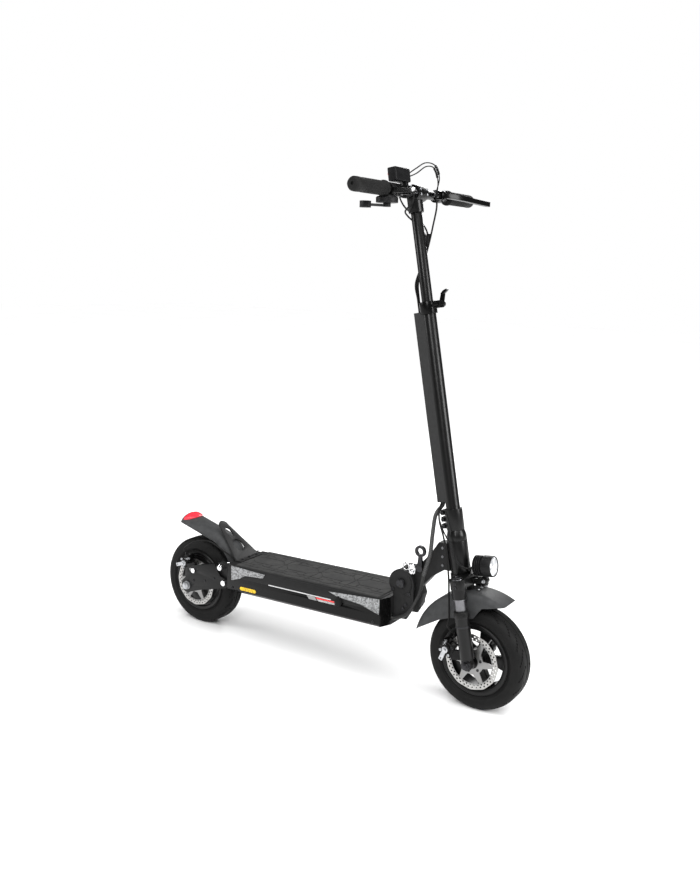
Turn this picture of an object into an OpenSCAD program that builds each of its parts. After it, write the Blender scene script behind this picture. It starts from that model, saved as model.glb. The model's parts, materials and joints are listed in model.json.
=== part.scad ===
// Folding electric kick scooter: sprung at both wheels, disc brakes at both wheels,
// hub motor in the rear wheel, height-adjustable stem.
// Millimetres. +X is forward, +Y is the rider's left, +Z is up. The origin is on the
// ground, half way between the two axles.

/* [Wheels] */
// Distance between the two axles
wheelbase = 909; // [860:1:960]
// Outside diameter of both tyres
tyre_od = 255; // [245:1:262]
// Width of both tyres
tyre_w = 66; // [56:1:68]
// Width of the flat tread band that meets the ground
tread_w = 30; // [16:1:34]
// Radius of the seat that the tyre bead sits on
rim_r = 84; // [80:1:90]
// Outside diameter of the brake rotors
rotor_d = 140; // [120:1:142]
// Thickness of the brake rotors
rotor_t = 2.2; // [1.8:0.1:2.6]
// Radius of both axles
axle_r = 6; // [5:0.5:7]

/* [Deck] */
// Length of the deck extrusion
deck_len = 508; // [460:1:540]
// Width of the deck extrusion
deck_w = 166; // [150:1:190]
// Height of the deck from the floor pan to the top of the mat
deck_h = 79; // [70:1:90]
// Height of the middle of the deck's top above the ground
deck_z = 235; // [225:1:245]
// Nose-up tilt of the deck in degrees
deck_tilt = 1.96; // [0:0.02:3]
// Wall of the deck extrusion
deck_wall = 4; // [3:0.5:5]
// Thickness of the rubber foot mat
mat_t = 3; // [2:0.5:4]
// Thickness of the lid under the mat
lid_t = 4; // [3:0.5:5]

/* [Fork and stem] */
// Lean of the steering axis from the vertical in degrees
rake = 10.6; // [8:0.1:13]
// Distance of the front axle in front of the steering axis
fork_offset = 21; // [16:1:26]
// Axle to crown top, along the steering axis
fork_len = 208; // [200:1:225]
// Distance of each fork leg from the middle plane
leg_y = 62; // [58:1:66]
// Radius of the fixed fork tubes
stanchion_r = 13.5; // [12:0.5:14]
// Radius of the sliding fork legs
leg_r = 17.5; // [16.5:0.5:18]
// Travel of the front suspension
fork_travel = 25; // [15:1:28]
// Length of the head tube
head_len = 82; // [75:1:95]
// Radius of the head tube
head_r = 25; // [24:0.5:27]
// Radius of the steerer tube
steerer_r = 15; // [14:0.5:15.5]
// Length of the fixed lower stem above its collar
stem_len = 490; // [420:1:520]
// Radius of the round part of the lower stem
stem_r = 17.4; // [17:0.1:18.5]
// Radius of the telescopic inner tube
mast_r = 14; // [12.5:0.5:14.2]
// Height of the handlebar above the top of the lower stem
bar_rise = 290; // [240:1:310]

/* [Handlebar] */
// Half of the handlebar's length, without the grip caps
bar_half = 281; // [260:1:310]
// Radius of the handlebar tube
bar_r = 11.1; // [11:0.1:12]
// Length of each rubber grip
grip_len = 132; // [110:1:140]

/* [Hidden] */
$fn = 64;

fit = 0.05;       // radial running clearance of every shaft in its bore
gap = 0.3;        // clearance between parts that move past each other
seat = 0.1;       // clearance between parts that rest on each other
black = [0.09, 0.09, 0.1];
dark = [0.2, 0.2, 0.21];
rubber = [0.05, 0.05, 0.05];
silver = [0.75, 0.76, 0.78];

// Wheels
axle_z = tyre_od / 2;
rear_x = -wheelbase / 2;
front_x = wheelbase / 2;
rotor_y = -42;                       // middle plane of both rotors
rotor_boss_y = rotor_y + rotor_t / 2; // face that a rotor is bolted to
rotor_ring = 13;                     // radial width of the braking ring

// Steering axis: its foot on the ground, and stations s along it
steer_x = front_x - (fork_offset - axle_z * sin(rake)) / cos(rake);
axle_s = axle_z * cos(rake) - (front_x - steer_x) * sin(rake);
crown_s = axle_s + fork_len;         // top of the crown
crown_h = 24;
head_s = crown_s + gap;              // bottom of the head tube
head_top_s = head_s + head_len;
cover_h = 26;                        // flared ring on the upper bearing
collar_s = head_top_s + gap + cover_h + seat;
collar_h = 52;
collar_r = stem_r + 5;
stem_s = collar_s + collar_h;
stem_top_s = stem_s + stem_len;
bar_s = stem_top_s + bar_rise;
bar_w = 8;                           // handlebar in front of the steering axis
bar_x = steer_x + bar_w * cos(rake) - bar_s * sin(rake);
bar_z = bar_w * sin(rake) + bar_s * cos(rake);

// A point of the steering frame, w in front of the axis and s along it, as [x, z]
function steer_pt(w, s) = [steer_x + w * cos(rake) - s * sin(rake), w * sin(rake) + s * cos(rake)];

// Deck: its middle, its ends and its side slope
deck_x = -44;
deck_half = deck_w / 2;
side_top = 6;                        // how far the upper side leans in
side_drop = 41;                      // height of the leaning upper side
shell_top = -(mat_t + lid_t);
side_slope = atan(side_top / side_drop);
front_end_x = deck_x + deck_len / 2 * cos(deck_tilt);
front_end_z = deck_z + deck_len / 2 * sin(deck_tilt);
rear_end_x = deck_x - deck_len / 2 * cos(deck_tilt);
rear_end_z = deck_z - deck_len / 2 * sin(deck_tilt);

// Fold hinge
hinge_x = front_end_x + 34;
hinge_z = front_end_z + 32;
hinge_hub_r = 34;
hinge_pin_r = 8;
ear_in = 26;                         // inner face of each ear
ear_t = 6;
nose_d = 14;                         // depth of the tapered nose of the deck

// Rear suspension
pivot_x = rear_end_x - 14;
pivot_z = rear_end_z - 61;
pivot_tube_r = 9;
knob_x = rear_end_x - 25;            // front eye of the shock
knob_z = rear_end_z - 17;
arm_in = 73;                         // inner face of each arm plate
arm_t = 6;
lug_in = 66;                         // inner face of each deck lug
lug_t = 5;
shock_y = 57;
eye_x = rear_x + 27;                 // rear eye of the shock, on the arm
eye_z = axle_z + 51;
shock_len = norm([eye_x - knob_x, eye_z - knob_z]);
shock_lean = atan2(eye_z - knob_z, eye_x - knob_x);
swing_bolt_r = 5;

module steer_frame() { translate([steer_x, 0, 0]) rotate([0, -rake, 0]) children(); }
module deck_frame() { translate([deck_x, 0, deck_z]) rotate([0, -deck_tilt, 0]) children(); }
module bar_frame() { translate([bar_x, 0, bar_z]) children(); }
module at_xz(x, z) { translate([x, 0, z]) children(); }
module both_sides() { children(); mirror([0, 1, 0]) children(); }
module rod_y(r, y0, y1) { translate([0, y1, 0]) rotate([90, 0, 0]) cylinder(r = r, h = y1 - y0); }
module along_x(x0, x1) { translate([x0, 0, 0]) rotate([90, 0, 90]) linear_extrude(x1 - x0) children(); }
module plate_xz(y0, y1) { translate([0, y1, 0]) rotate([90, 0, 0]) linear_extrude(y1 - y0) children(); }
module ring(r_out, r_in, h) {
    difference() {
        cylinder(r = r_out, h = h);
        translate([0, 0, -1]) cylinder(r = r_in, h = h + 2);
    }
}
module revolve_y() { rotate([90, 0, 0]) rotate_extrude($fn = 96) children(); }

// A tube swept along a list of points, with its rings square to the mean direction
function unit(v) = v / norm(v);
function tangent(p, i) = unit(p[min(i + 1, len(p) - 1)] - p[max(i - 1, 0)]);
function side_axis(t) = unit(cross(t, abs(t[1]) < 0.9 ? [0, 1, 0] : [1, 0, 0]));
function ring_pts(c, t, r, n) = let (a = side_axis(t), b = cross(t, a))
    [for (k = [0:n - 1]) c + r * (a * cos(360 * k / n) + b * sin(360 * k / n))];
module tube_along(p, r, n = 8) {
    rings = [for (i = [0:len(p) - 1]) each ring_pts(p[i], tangent(p, i), r, n)];
    last = (len(p) - 1) * n;
    sides = [for (i = [0:len(p) - 2]) for (k = [0:n - 1])
        [i * n + k, i * n + (k + 1) % n, (i + 1) * n + (k + 1) % n, (i + 1) * n + k]];
    polyhedron(rings, concat(sides, [[for (k = [n - 1:-1:0]) k]], [[for (k = [0:n - 1]) last + k]]),
        convexity = 6);
}
// Points on a smooth curve through the given points, m to each stretch
function curve_at(p, i, t) = let (a = p[max(i - 1, 0)], b = p[i], c = p[i + 1], d = p[min(i + 2, len(p) - 1)])
    0.5 * (2 * b + (c - a) * t + (2 * a - 5 * b + 4 * c - d) * t * t + (3 * b - a - 3 * c + d) * t * t * t);
function smooth(p, m = 4) = concat([for (i = [0:len(p) - 2]) for (k = [0:m - 1]) curve_at(p, i, k / m)],
    [p[len(p) - 1]]);
// A coil spring along +Z from the origin
function coil_pts(r, h, turns, n) = [for (i = [0:turns * n])
    [r * cos(360 * i / n), r * sin(360 * i / n), h * i / (turns * n)]];

// ---- wheels

module tyre_at(x) {
    side_r = tyre_od / 2 - 20;       // where the tyre is widest
    color(rubber) at_xz(x, axle_z) revolve_y() polygon(concat(
        [[rim_r, -22], [rim_r, 22], [rim_r + 7, 27], [side_r - 10, tyre_w / 2 - 1.5]],
        [for (a = [0:15:90]) [side_r + (tyre_od / 2 - side_r) * sin(a),
            tread_w / 2 + (tyre_w - tread_w) / 2 * cos(a)]],
        [for (a = [90:-15:0]) [side_r + (tyre_od / 2 - side_r) * sin(a),
            -tread_w / 2 - (tyre_w - tread_w) / 2 * cos(a)]],
        [[side_r - 10, -tyre_w / 2 + 1.5], [rim_r + 7, -27]]));
}

// A brake rotor with a scalloped rim, curved arms and a bolted centre
module rotor_at(x) {
    lobes = 10;
    arms = 6;
    ring_mid = rotor_d / 2 - rotor_ring / 2;
    color(silver) at_xz(x, axle_z) translate([0, rotor_y + rotor_t / 2, 0]) rotate([90, 0, 0])
        linear_extrude(rotor_t) {
            difference() {
                circle(r = rotor_d / 2);
                circle(r = rotor_d / 2 - rotor_ring);
                for (i = [0:lobes - 1]) rotate(360 / lobes * i) translate([rotor_d / 2 + 9, 0]) circle(r = 12, $fn = 32);
                for (i = [0:lobes - 1]) for (k = [-1:1]) rotate(360 / lobes * (i + 0.5) + 10 * k)
                    translate([ring_mid + k * 2, 0]) circle(r = 1.8, $fn = 16);
            }
            for (i = [0:arms - 1]) rotate(360 / arms * i) intersection() {
                translate([18, 30]) difference() {
                    circle(r = 44);
                    circle(r = 37);
                }
                translate([20, -22]) square([rotor_d / 2 - rotor_ring - 19, 38]);
            }
            difference() {
                circle(r = 29);
                circle(r = 20);
                for (i = [0:arms - 1]) rotate(360 / arms * i + 15) translate([24.5, 0]) circle(r = 2.6, $fn = 16);
            }
        }
}

module rear_tyre() { tyre_at(rear_x); }
module front_tyre() { tyre_at(front_x); }
module rear_rotor() { rotor_at(rear_x); }
module front_rotor() { rotor_at(front_x); }

// Motor in the rear wheel: a drum with a rim, two dished covers and the rotor's boss
module hub_motor() {
    color(black) at_xz(rear_x, axle_z) revolve_y() polygon([
        [axle_r + fit, -38], [18, -38], [20, -33], [79, -30], [rim_r + 4, -29], [rim_r + 4, -26],
        [rim_r - seat, -22.5], [rim_r - seat, 22.5], [rim_r + 4, 26], [rim_r + 4, 29], [79, 30],
        [31, 33], [30, -rotor_boss_y - seat], [axle_r + fit, -rotor_boss_y - seat]]);
}

// Cast front rim: two flanges, a hub and five wide spokes
module front_rim() {
    spokes = 5;
    spoke_w = 24;
    color(black) at_xz(front_x, axle_z) {
        revolve_y() polygon([[rim_r - 9, -27], [rim_r + 5, -29], [rim_r + 5, -26], [rim_r - seat, -22.5],
            [rim_r - seat, 22.5], [rim_r + 5, 26], [rim_r + 5, 29], [rim_r - 9, 27]]);
        revolve_y() polygon([[axle_r + fit, -36], [22, -36], [22, 20], [30, 36], [30, -rotor_boss_y - seat],
            [axle_r + fit, -rotor_boss_y - seat]]);
        for (i = [0:spokes - 1]) rotate([0, 360 / spokes * i, 0])
            translate([14, -9, -spoke_w / 2]) cube([rim_r - 18, 18, spoke_w]);
    }
}

// ---- brakes

// Caliper straddling a rotor: outer half, bridge and thin inner half, in a frame whose
// origin is on the wheel axis and whose +X points from the axle to the caliper
module caliper_block() {
    rim = rotor_d / 2;
    difference() {
        union() {
            translate([rim - 24, rotor_y - 22, -17]) cube([35, 20, 34]);
            translate([rim + 2, rotor_y - 3, -14]) cube([9, 9, 28]);
            translate([rim - 20, rotor_y + 2.5, -14]) cube([31, 3.5, 28]);
            translate([rim - 6, 0, 0]) rod_y(12, rotor_y - 27, rotor_y - 21);
        }
        translate([rim - 6, 0, 0]) rod_y(4 + fit, rotor_y - 40, rotor_y - 12);
    }
}
// Lever on a caliper that the brake cable pulls, in the same frame
module caliper_lever() {
    rim = rotor_d / 2;
    color(silver) translate([rim - 6, 0, 0]) {
        rod_y(4, rotor_y - 36, rotor_y - 12.5);
        difference() {
            plate_xz(rotor_y - 31, rotor_y - 27 - gap) { translate([-5, 0]) square([10, 30]); circle(r = 8); }
            translate([0, 0, 25]) rod_y(2, rotor_y - 40, rotor_y - 20);
        }
    }
}
rear_caliper_turn = 110;             // direction of the caliper from the axle
front_caliper_turn = 157;
module rear_caliper() {
    rim = rotor_d / 2;
    color(black) at_xz(rear_x, axle_z) rotate([0, -rear_caliper_turn, 0]) {
        caliper_block();
        translate([rim - 24, -arm_in + seat, -44]) cube([14, 5, 32]);
        translate([rim - 24, -arm_in + seat, -22]) cube([14, arm_in + rotor_y - 12, 8]);
        translate([rim + 8, rotor_y - 16, -8]) rotate([0, 90, 0]) cylinder(r = 4, h = 16);
    }
}
module rear_caliper_arm() { at_xz(rear_x, axle_z) rotate([0, -rear_caliper_turn, 0]) caliper_lever(); }
module front_caliper() {
    color(black) at_xz(front_x, axle_z) {
        rotate([0, -front_caliper_turn, 0]) {
            caliper_block();
            translate([rotor_d / 2 - 4, rotor_y - 12, -28]) cylinder(r = 4, h = 14);
        }
        rotate([0, -rake, 0]) translate([-46, -leg_y + 1, 8]) cube([46 - leg_r - seat, 7, 24]);
    }
}
module front_caliper_arm() { at_xz(front_x, axle_z) rotate([0, -front_caliper_turn, 0]) caliper_lever(); }

// ---- rear swing arm and shocks

arm_axle_lobe = 22;
module swing_arm() {
    color(dark) {
        both_sides() difference() {
            plate_xz(arm_in, arm_in + arm_t) {
                polygon([[rear_x, axle_z - arm_axle_lobe], [rear_x + 50, axle_z - 4], [pivot_x + 4, pivot_z - 15],
                    [pivot_x + 12, pivot_z - 8], [pivot_x + 12, pivot_z + 8], [pivot_x - 16, pivot_z + 17],
                    [pivot_x - 37, pivot_z + 48], [eye_x - 2, eye_z + 14], [eye_x - 14, eye_z],
                    [rear_x - 12, axle_z + arm_axle_lobe - 4]]);
                translate([rear_x, axle_z]) circle(r = arm_axle_lobe);
                translate([eye_x, eye_z]) circle(r = 14);
            }
            at_xz(rear_x, axle_z) rod_y(axle_r + fit, arm_in - 1, arm_in + arm_t + 1);
            at_xz(eye_x, eye_z) rod_y(swing_bolt_r + fit, arm_in - 1, arm_in + arm_t + 1);
            at_xz(pivot_x, pivot_z) rod_y(swing_bolt_r + fit, arm_in - 1, arm_in + arm_t + 1);
        }
        at_xz(pivot_x, pivot_z) difference() {
            rod_y(pivot_tube_r, -arm_in, arm_in);
            rod_y(swing_bolt_r + fit, -arm_in - 1, arm_in + 1);
        }
    }
}
// The pivot bolt right across, and one bolt for the rear eye of each shock
module swing_bolts() {
    out = arm_in + arm_t;
    color(silver) {
        at_xz(pivot_x, pivot_z) {
            rod_y(swing_bolt_r, -out - 2, out + 2);
            both_sides() rod_y(8, out + seat, out + 6);
        }
        both_sides() at_xz(eye_x, eye_z) {
            rod_y(swing_bolt_r, shock_y - 9, out + 1);
            rod_y(7.5, out + seat, out + 7);
        }
    }
}
module rear_axle() {
    out = arm_in + arm_t;
    color(silver) at_xz(rear_x, axle_z) {
        rod_y(axle_r, -out - 13, out + 13);
        both_sides() {
            rod_y(10, 46, arm_in - seat);
            rod_y(12, out + seat, out + 2.5);
            translate([0, out + 10, 0]) rotate([90, 0, 0]) cylinder(r = 11, h = 7.6, $fn = 6);
        }
    }
}

// A frame along a shock, from its front eye towards its rear eye
module shock_frame() {
    both_sides() translate([knob_x, shock_y, knob_z]) rotate([0, -shock_lean, 0]) children();
}
eye_r = 9;
shock_stroke = 12;
module shock_bodies() {
    color(silver) shock_frame() {
        difference() {
            union() {
                rod_y(eye_r, -7, 7);
                translate([eye_r - 2, 0, 0]) rotate([0, 90, 0]) cylinder(r = 6, h = 50);
                translate([eye_r + 6, 0, 0]) rotate([0, 90, 0]) cylinder(r = 11.5, h = 4);
            }
            rod_y(swing_bolt_r + fit, -8, 8);
            translate([eye_r + 10, 0, 0]) rotate([0, 90, 0]) cylinder(r = 3 + fit, h = 60);
        }
    }
}
module shock_rods() {
    color(silver) shock_frame() difference() {
        union() {
            translate([shock_len, 0, 0]) rod_y(eye_r, -7, 7);
            translate([eye_r + 26, 0, 0]) rotate([0, 90, 0]) cylinder(r = 3, h = shock_len - 2 * eye_r - 18);
            translate([shock_len - eye_r - 6, 0, 0]) rotate([0, 90, 0]) cylinder(r = 11.5, h = 4);
            translate([shock_len - eye_r - 3, 0, 0]) rotate([0, 90, 0]) cylinder(r = 6, h = 5);
        }
        translate([shock_len, 0, 0]) rod_y(swing_bolt_r + 1, -8, 8);
    }
}
module shock_springs() {
    wire = 1.7;
    run = shock_len - 2 * eye_r - 16 - 2 * (wire + seat);
    color(dark) shock_frame() translate([eye_r + 10 + wire + seat, 0, 0]) rotate([0, 90, 0])
        tube_along(coil_pts(9, run, 7, 14), wire, 6);
}

// ---- deck

module deck_section() {
    polygon([[-deck_half + 8, -deck_h], [deck_half - 8, -deck_h], [deck_half, -deck_h + 8],
        [deck_half, shell_top - side_drop], [deck_half - side_top, shell_top], [-deck_half + side_top, shell_top],
        [-deck_half, shell_top - side_drop], [-deck_half, -deck_h + 8]]);
}
cavity_half = deck_half - side_top - deck_wall - 1;
port_x = 129;                        // charge socket, in the deck's own frame
port_z = shell_top - 29;
port_r = 8;
// A frame on the leaning right side, at its upper edge: +X along the deck, +Y up the
// slope, +Z out of it
module side_frame() {
    translate([0, -(deck_half - side_top), shell_top]) rotate([90 - side_slope, 0, 0]) children();
}
module deck_shell() {
    color(dark) deck_frame() difference() {
        union() {
            along_x(-deck_len / 2, deck_len / 2) deck_section();
            translate([40, deck_half - 3, -deck_h + 4]) cube([44, 10, 22]);
        }
        along_x(-deck_len / 2 - 1, deck_len / 2 + 1) polygon([
            [-cavity_half, -deck_h + deck_wall], [cavity_half, -deck_h + deck_wall],
            [cavity_half, shell_top - 6], [-cavity_half, shell_top - 6]]);
        along_x(-deck_len / 2 - 1, deck_len / 2 + 1) translate([-cavity_half + 8, shell_top - 7])
            square([2 * cavity_half - 16, 10]);
        side_frame() translate([port_x, port_z - shell_top, -12]) cylinder(r = port_r + fit, h = 20);
        translate([62, 0, -deck_h + 15]) rod_y(4 + fit, deck_half - 10, deck_half + 8);
    }
}
module deck_lid() {
    color(dark) deck_frame() translate([-deck_len / 2, -deck_half + side_top + 0.5, shell_top + seat])
        cube([deck_len, deck_w - 2 * side_top - 1, lid_t - seat]);
}
mat_inset = 9;
module deck_mat() {
    color(rubber) deck_frame() difference() {
        translate([-deck_len / 2 + 26, -deck_half + mat_inset, -mat_t + seat])
            cube([deck_len - 30, deck_w - 2 * mat_inset, mat_t - seat]);
        for (x = [-160:80:160]) translate([x, 0, -1]) rotate([0, 0, 45]) difference() {
            cube([80, 80, 4], center = true);
            cube([76, 76, 5], center = true);
        }
    }
}
// Clear strips let into both sides, deep at the ends of the deck and narrow inwards
module side_lights() {
    color([0.85, 0.87, 0.9]) deck_frame() both_sides() side_frame() translate([0, 0, seat]) linear_extrude(2) {
        polygon([[-deck_len / 2 + 12, 2], [-deck_len / 2 + 134, -3], [-deck_len / 2 + 128, -14],
            [-deck_len / 2 + 66, -18], [-deck_len / 2 + 44, -30], [-deck_len / 2 + 17, -38]]);
        polygon([[deck_len / 2, 1], [deck_len / 2 - 158, -8], [deck_len / 2 - 130, -16], [deck_len / 2 - 56, -22],
            [deck_len / 2 - 22, -32], [deck_len / 2, -37]]);
    }
}
module battery_pack() {
    color([0.15, 0.25, 0.4]) deck_frame() translate([-deck_len / 2 + 20, -cavity_half + 5, -deck_h + deck_wall + seat])
        cube([deck_len - 150, 2 * cavity_half - 10, deck_h - deck_wall + shell_top - 12]);
}
module controller() {
    color(silver) deck_frame() translate([deck_len / 2 - 118, -35, -deck_h + deck_wall + seat]) {
        cube([86, 70, 34]);
        for (i = [0:6]) translate([4, 4 + 10 * i, 33]) cube([78, 2, 8]);
    }
}
module charge_port() {
    color(black) deck_frame() side_frame() translate([port_x, port_z - shell_top, 0]) difference() {
        union() {
            translate([0, 0, -10]) cylinder(r = port_r, h = 11);
            translate([0, 0, seat]) cylinder(r = port_r + 3, h = 2);
        }
        translate([0, 0, -6]) cylinder(r = 5.5, h = 20);
    }
}
// Rubber cap over the charge socket, hinged at its upper edge
module charge_cap() {
    color(rubber) deck_frame() side_frame() translate([port_x, port_z - shell_top, 2 + seat]) {
        cylinder(r = port_r + 3, h = 2.4);
        translate([-3, port_r + 1, 0]) cube([6, 6, 2.4]);
    }
}

// The tapered nose that closes the deck in front, with the two hinge ears
harness_y = -42;
module front_bracket() {
    nose_z = -deck_h + 1;
    color(dark) difference() {
        union() {
            deck_frame() translate([deck_len / 2 + seat, 0, nose_z]) linear_extrude(deck_h - 6) polygon([
                [0, -deck_half + 2], [0, deck_half - 2], [nose_d, 48], [nose_d, -48]]);
            both_sides() plate_xz(ear_in, ear_in + ear_t) {
                polygon([[front_end_x + nose_d - 3, front_end_z - deck_h + 16], [front_end_x + nose_d - 3, hinge_z + 4],
                    [hinge_x - 32, hinge_z + 16], [hinge_x - 16, hinge_z + 32], [hinge_x + 32, hinge_z + 16],
                    [hinge_x + 36, hinge_z - 4], [hinge_x + 37, hinge_z - 60], [hinge_x + 18, hinge_z - 92]]);
                translate([hinge_x, hinge_z]) circle(r = 36);
            }
        }
        at_xz(hinge_x, hinge_z) both_sides() rod_y(hinge_pin_r + fit, ear_in - 1, ear_in + ear_t + 1);
        deck_frame() translate([deck_len / 2 - 1, harness_y, -deck_h + 18]) rotate([0, 90, 0])
            cylinder(r = harness_r + 1.5, h = nose_d + 4);
    }
}
module hinge_pin() {
    out = ear_in + ear_t;
    color(silver) at_xz(hinge_x, hinge_z) {
        rod_y(hinge_pin_r, -out - 2, out + 2);
        both_sides() rod_y(12, out + seat, out + 5);
    }
}
// Plate that closes the deck behind, with a lug on each side for the arm and the shock
module rear_bracket() {
    color(dark) difference() {
        union() {
            deck_frame() translate([-deck_len / 2 - 6 - seat, -lug_in - 2, -deck_h + 2])
                cube([6, 2 * lug_in + 4, deck_h - 8]);
            both_sides() plate_xz(lug_in, lug_in + lug_t) {
                polygon([[rear_end_x - 3, pivot_z - 13], [pivot_x - 6, pivot_z - 11], [pivot_x - 12, pivot_z + 4],
                    [knob_x - 12, knob_z - 4], [knob_x - 6, knob_z + 11], [rear_end_x - 3, knob_z + 11]]);
                translate([pivot_x, pivot_z]) circle(r = 14);
                translate([knob_x, knob_z]) circle(r = 14);
            }
        }
        at_xz(pivot_x, pivot_z) both_sides() rod_y(pivot_tube_r + fit, lug_in - 1, lug_in + lug_t + 1);
    }
    color(silver) both_sides() at_xz(knob_x, knob_z) {
        rod_y(swing_bolt_r, shock_y - 9, lug_in + 1);
        rod_y(11, lug_in + lug_t - 1, lug_in + lug_t + 4);
        rod_y(8, lug_in + lug_t, lug_in + lug_t + 12);
    }
}

// Foot rest at the back of the deck: a leaning tongue with two oval windows
kick_half = 48;
kick_len = 136;
kick_lean = 47.4;                    // from the vertical
kick_t = 4;
module kick_outline() {
    tip_r = 17;
    polygon([[-kick_half, 0], [kick_half, 0], [kick_half - 6, 26], [tip_r + 7, kick_len - 44],
        [tip_r, kick_len - tip_r], [-tip_r, kick_len - tip_r], [-tip_r - 7, kick_len - 44], [-kick_half + 6, 26]]);
    translate([0, kick_len - tip_r]) circle(r = tip_r);
}
module slot_hole(w, h) {
    translate([0, h / 2 - w / 2, -1]) cylinder(r = w / 2, h = kick_t + 2);
    translate([0, w / 2 - h / 2, -1]) cylinder(r = w / 2, h = kick_t + 2);
    translate([-w / 2, w / 2 - h / 2, -1]) cube([w, h - w, kick_t + 2]);
}
kick_foot = 24;                      // length of its flat foot on the lid
module kick_plate() {
    color(dark) deck_frame() {
        translate([-deck_len / 2, -kick_half, -mat_t + seat]) cube([kick_foot, 2 * kick_half, kick_t]);
        translate([-deck_len / 2 + 3, 0, -mat_t + seat]) rotate([0, -kick_lean - 90, 0]) rotate([0, 0, -90])
            translate([0, 0, -kick_t]) difference() {
                linear_extrude(kick_t) kick_outline();
                translate([0, 44, 0]) slot_hole(36, 42);
                translate([0, 92, 0]) slot_hole(20, 34);
            }
    }
}

// Rear fender: an arched strip, curved up from the deck and straight to its tip
fender_half = 38;
fender_rise = 24;
fender_t = 3;
fender_bend_r = 100;
fender_c = [rear_x + 31, axle_z + 38]; // centre of the bend
fender_up = 14.4;                      // slope of the straight stretch
fender_run = 128;
function arch(half, rise, lift) = [for (a = [-90:10:90]) [half * sin(a), lift + rise * cos(a)]];
module arch_section(half, lift, t) {
    polygon(concat(arch(half + t, fender_rise, lift + t),
        [for (p = arch(half, fender_rise, lift)) [-p[0], p[1]]]));
}
// A frame at the start of the straight stretch: +X back along it, +Z out of it
module fender_straight() {
    at_xz(fender_c[0], fender_c[1]) rotate([0, fender_up, 0])
        translate([0, 0, fender_bend_r]) mirror([1, 0, 0]) children();
}
module fender_strip(half, lift, t, x0, x1) {
    fender_straight() translate([x0, 0, 0]) rotate([90, 0, 90]) linear_extrude(x1 - x0) arch_section(half, lift, t);
}
module rear_fender() {
    bend = 58;
    color(dark) difference() {
        union() {
            intersection() {
                fender_strip(fender_half - fender_t, 0, fender_t, 0, fender_run);
                translate([rear_x, 0, axle_z]) linear_extrude(300) {
                    translate([-62, -fender_half - 1]) square([200, 2 * fender_half + 2]);
                    translate([-62, 0]) circle(r = fender_half + 1);
                }
            }
            at_xz(fender_c[0], fender_c[1]) rotate([90, fender_up - 90, 0]) rotate([0, 0, -bend])
                rotate_extrude(angle = bend, $fn = 96) rotate(-90) translate([0, fender_bend_r])
                    arch_section(fender_half - fender_t, 0, fender_t);
        }
        deck_frame() translate([-deck_len / 2 - 6 - 2 * seat, -100, -100]) cube([200, 200, 200]);
    }
}
module tail_light() {
    color("red") intersection() {
        fender_strip(fender_half + seat, fender_t + seat, 3, fender_run - 46, fender_run - 6);
        translate([rear_x, 0, axle_z]) linear_extrude(300) translate([-62, 0]) circle(r = fender_half - 3);
    }
}

// Folding prop stand, folded back along the left side of the deck
stand_x = 62;
stand_z = -deck_h + 15;
stand_len = 178;
stand_y = deck_half + 15;             // middle of the leg
module kickstand() {
    color(black) deck_frame() translate([stand_x, 0, stand_z]) {
        rod_y(4, deck_half - 9, stand_y);
        rod_y(10, stand_y - 8 + gap, stand_y + 8);
        translate([-stand_len + 6, stand_y, 0]) rotate([0, 90, 0]) cylinder(r = 6, h = stand_len - 8);
        translate([-stand_len, stand_y, 0]) rotate([0, 90, 0]) cylinder(r = 8, h = 14);
    }
}

// ---- neck and head tube

neck_t = 28;
module neck_bracket() {
    top = steer_pt(-head_r + 2, head_top_s - 6);
    low = steer_pt(-head_r + 2, head_s + 6);
    color(dark) difference() {
        union() {
            at_xz(hinge_x, hinge_z) rod_y(hinge_hub_r, -ear_in + gap, ear_in - gap);
            plate_xz(-neck_t / 2, neck_t / 2) polygon([
                [hinge_x - 6, hinge_z + hinge_hub_r - 1], [hinge_x + 40, hinge_z + 52],
                [top[0] - 44, top[1] - 36], [top[0] - 22, top[1] - 2], top, low,
                [low[0] - 16, low[1] - 1], [low[0] - 52, low[1] - 26], [low[0] - 82, low[1] - 62],
                [hinge_x + 52, hinge_z - 24], [hinge_x + 42, hinge_z - 62], [hinge_x + 4, hinge_z - 70],
                [hinge_x - 12, hinge_z - 20]]);
        }
        at_xz(hinge_x, hinge_z) rod_y(hinge_pin_r + fit, -ear_in - 1, ear_in + 1);
        steer_frame() translate([0, 0, head_s - 5]) cylinder(r = head_r + seat, h = head_len + 10);
        latch_place() rod_y(4 + fit, -neck_t / 2 - 1, -neck_t / 2 + 14);
    }
}
bearing_r = 21;
bearing_h = 10;
module head_tube() {
    color(black) steer_frame() translate([0, 0, head_s]) difference() {
        cylinder(r = head_r, h = head_len);
        translate([0, 0, -1]) cylinder(r = steerer_r + 2, h = head_len + 2);
        translate([0, 0, -1]) cylinder(r = bearing_r + fit, h = bearing_h + 1);
        translate([0, 0, head_len - bearing_h]) cylinder(r = bearing_r + fit, h = bearing_h + 1);
    }
}
// Hand lever of the fold, on the right side of the neck
module latch_place() { at_xz(hinge_x + 46, hinge_z + 46) children(); }
module fold_latch() {
    color(silver) latch_place() difference() {
        union() {
            rod_y(4, -neck_t / 2 - 4, -neck_t / 2 + 12);
            rod_y(9, -neck_t / 2 - 11, -neck_t / 2 - gap);
            plate_xz(-neck_t / 2 - 9, -neck_t / 2 - 2) {
                polygon([[-8, 0], [-4, 34], [4, 34], [8, 0]]);
                translate([0, 44]) circle(r = 15);
            }
        }
        translate([0, 0, 44]) rod_y(8, -neck_t / 2 - 12, -neck_t / 2);
    }
}

// ---- fork, stem and front fender

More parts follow.
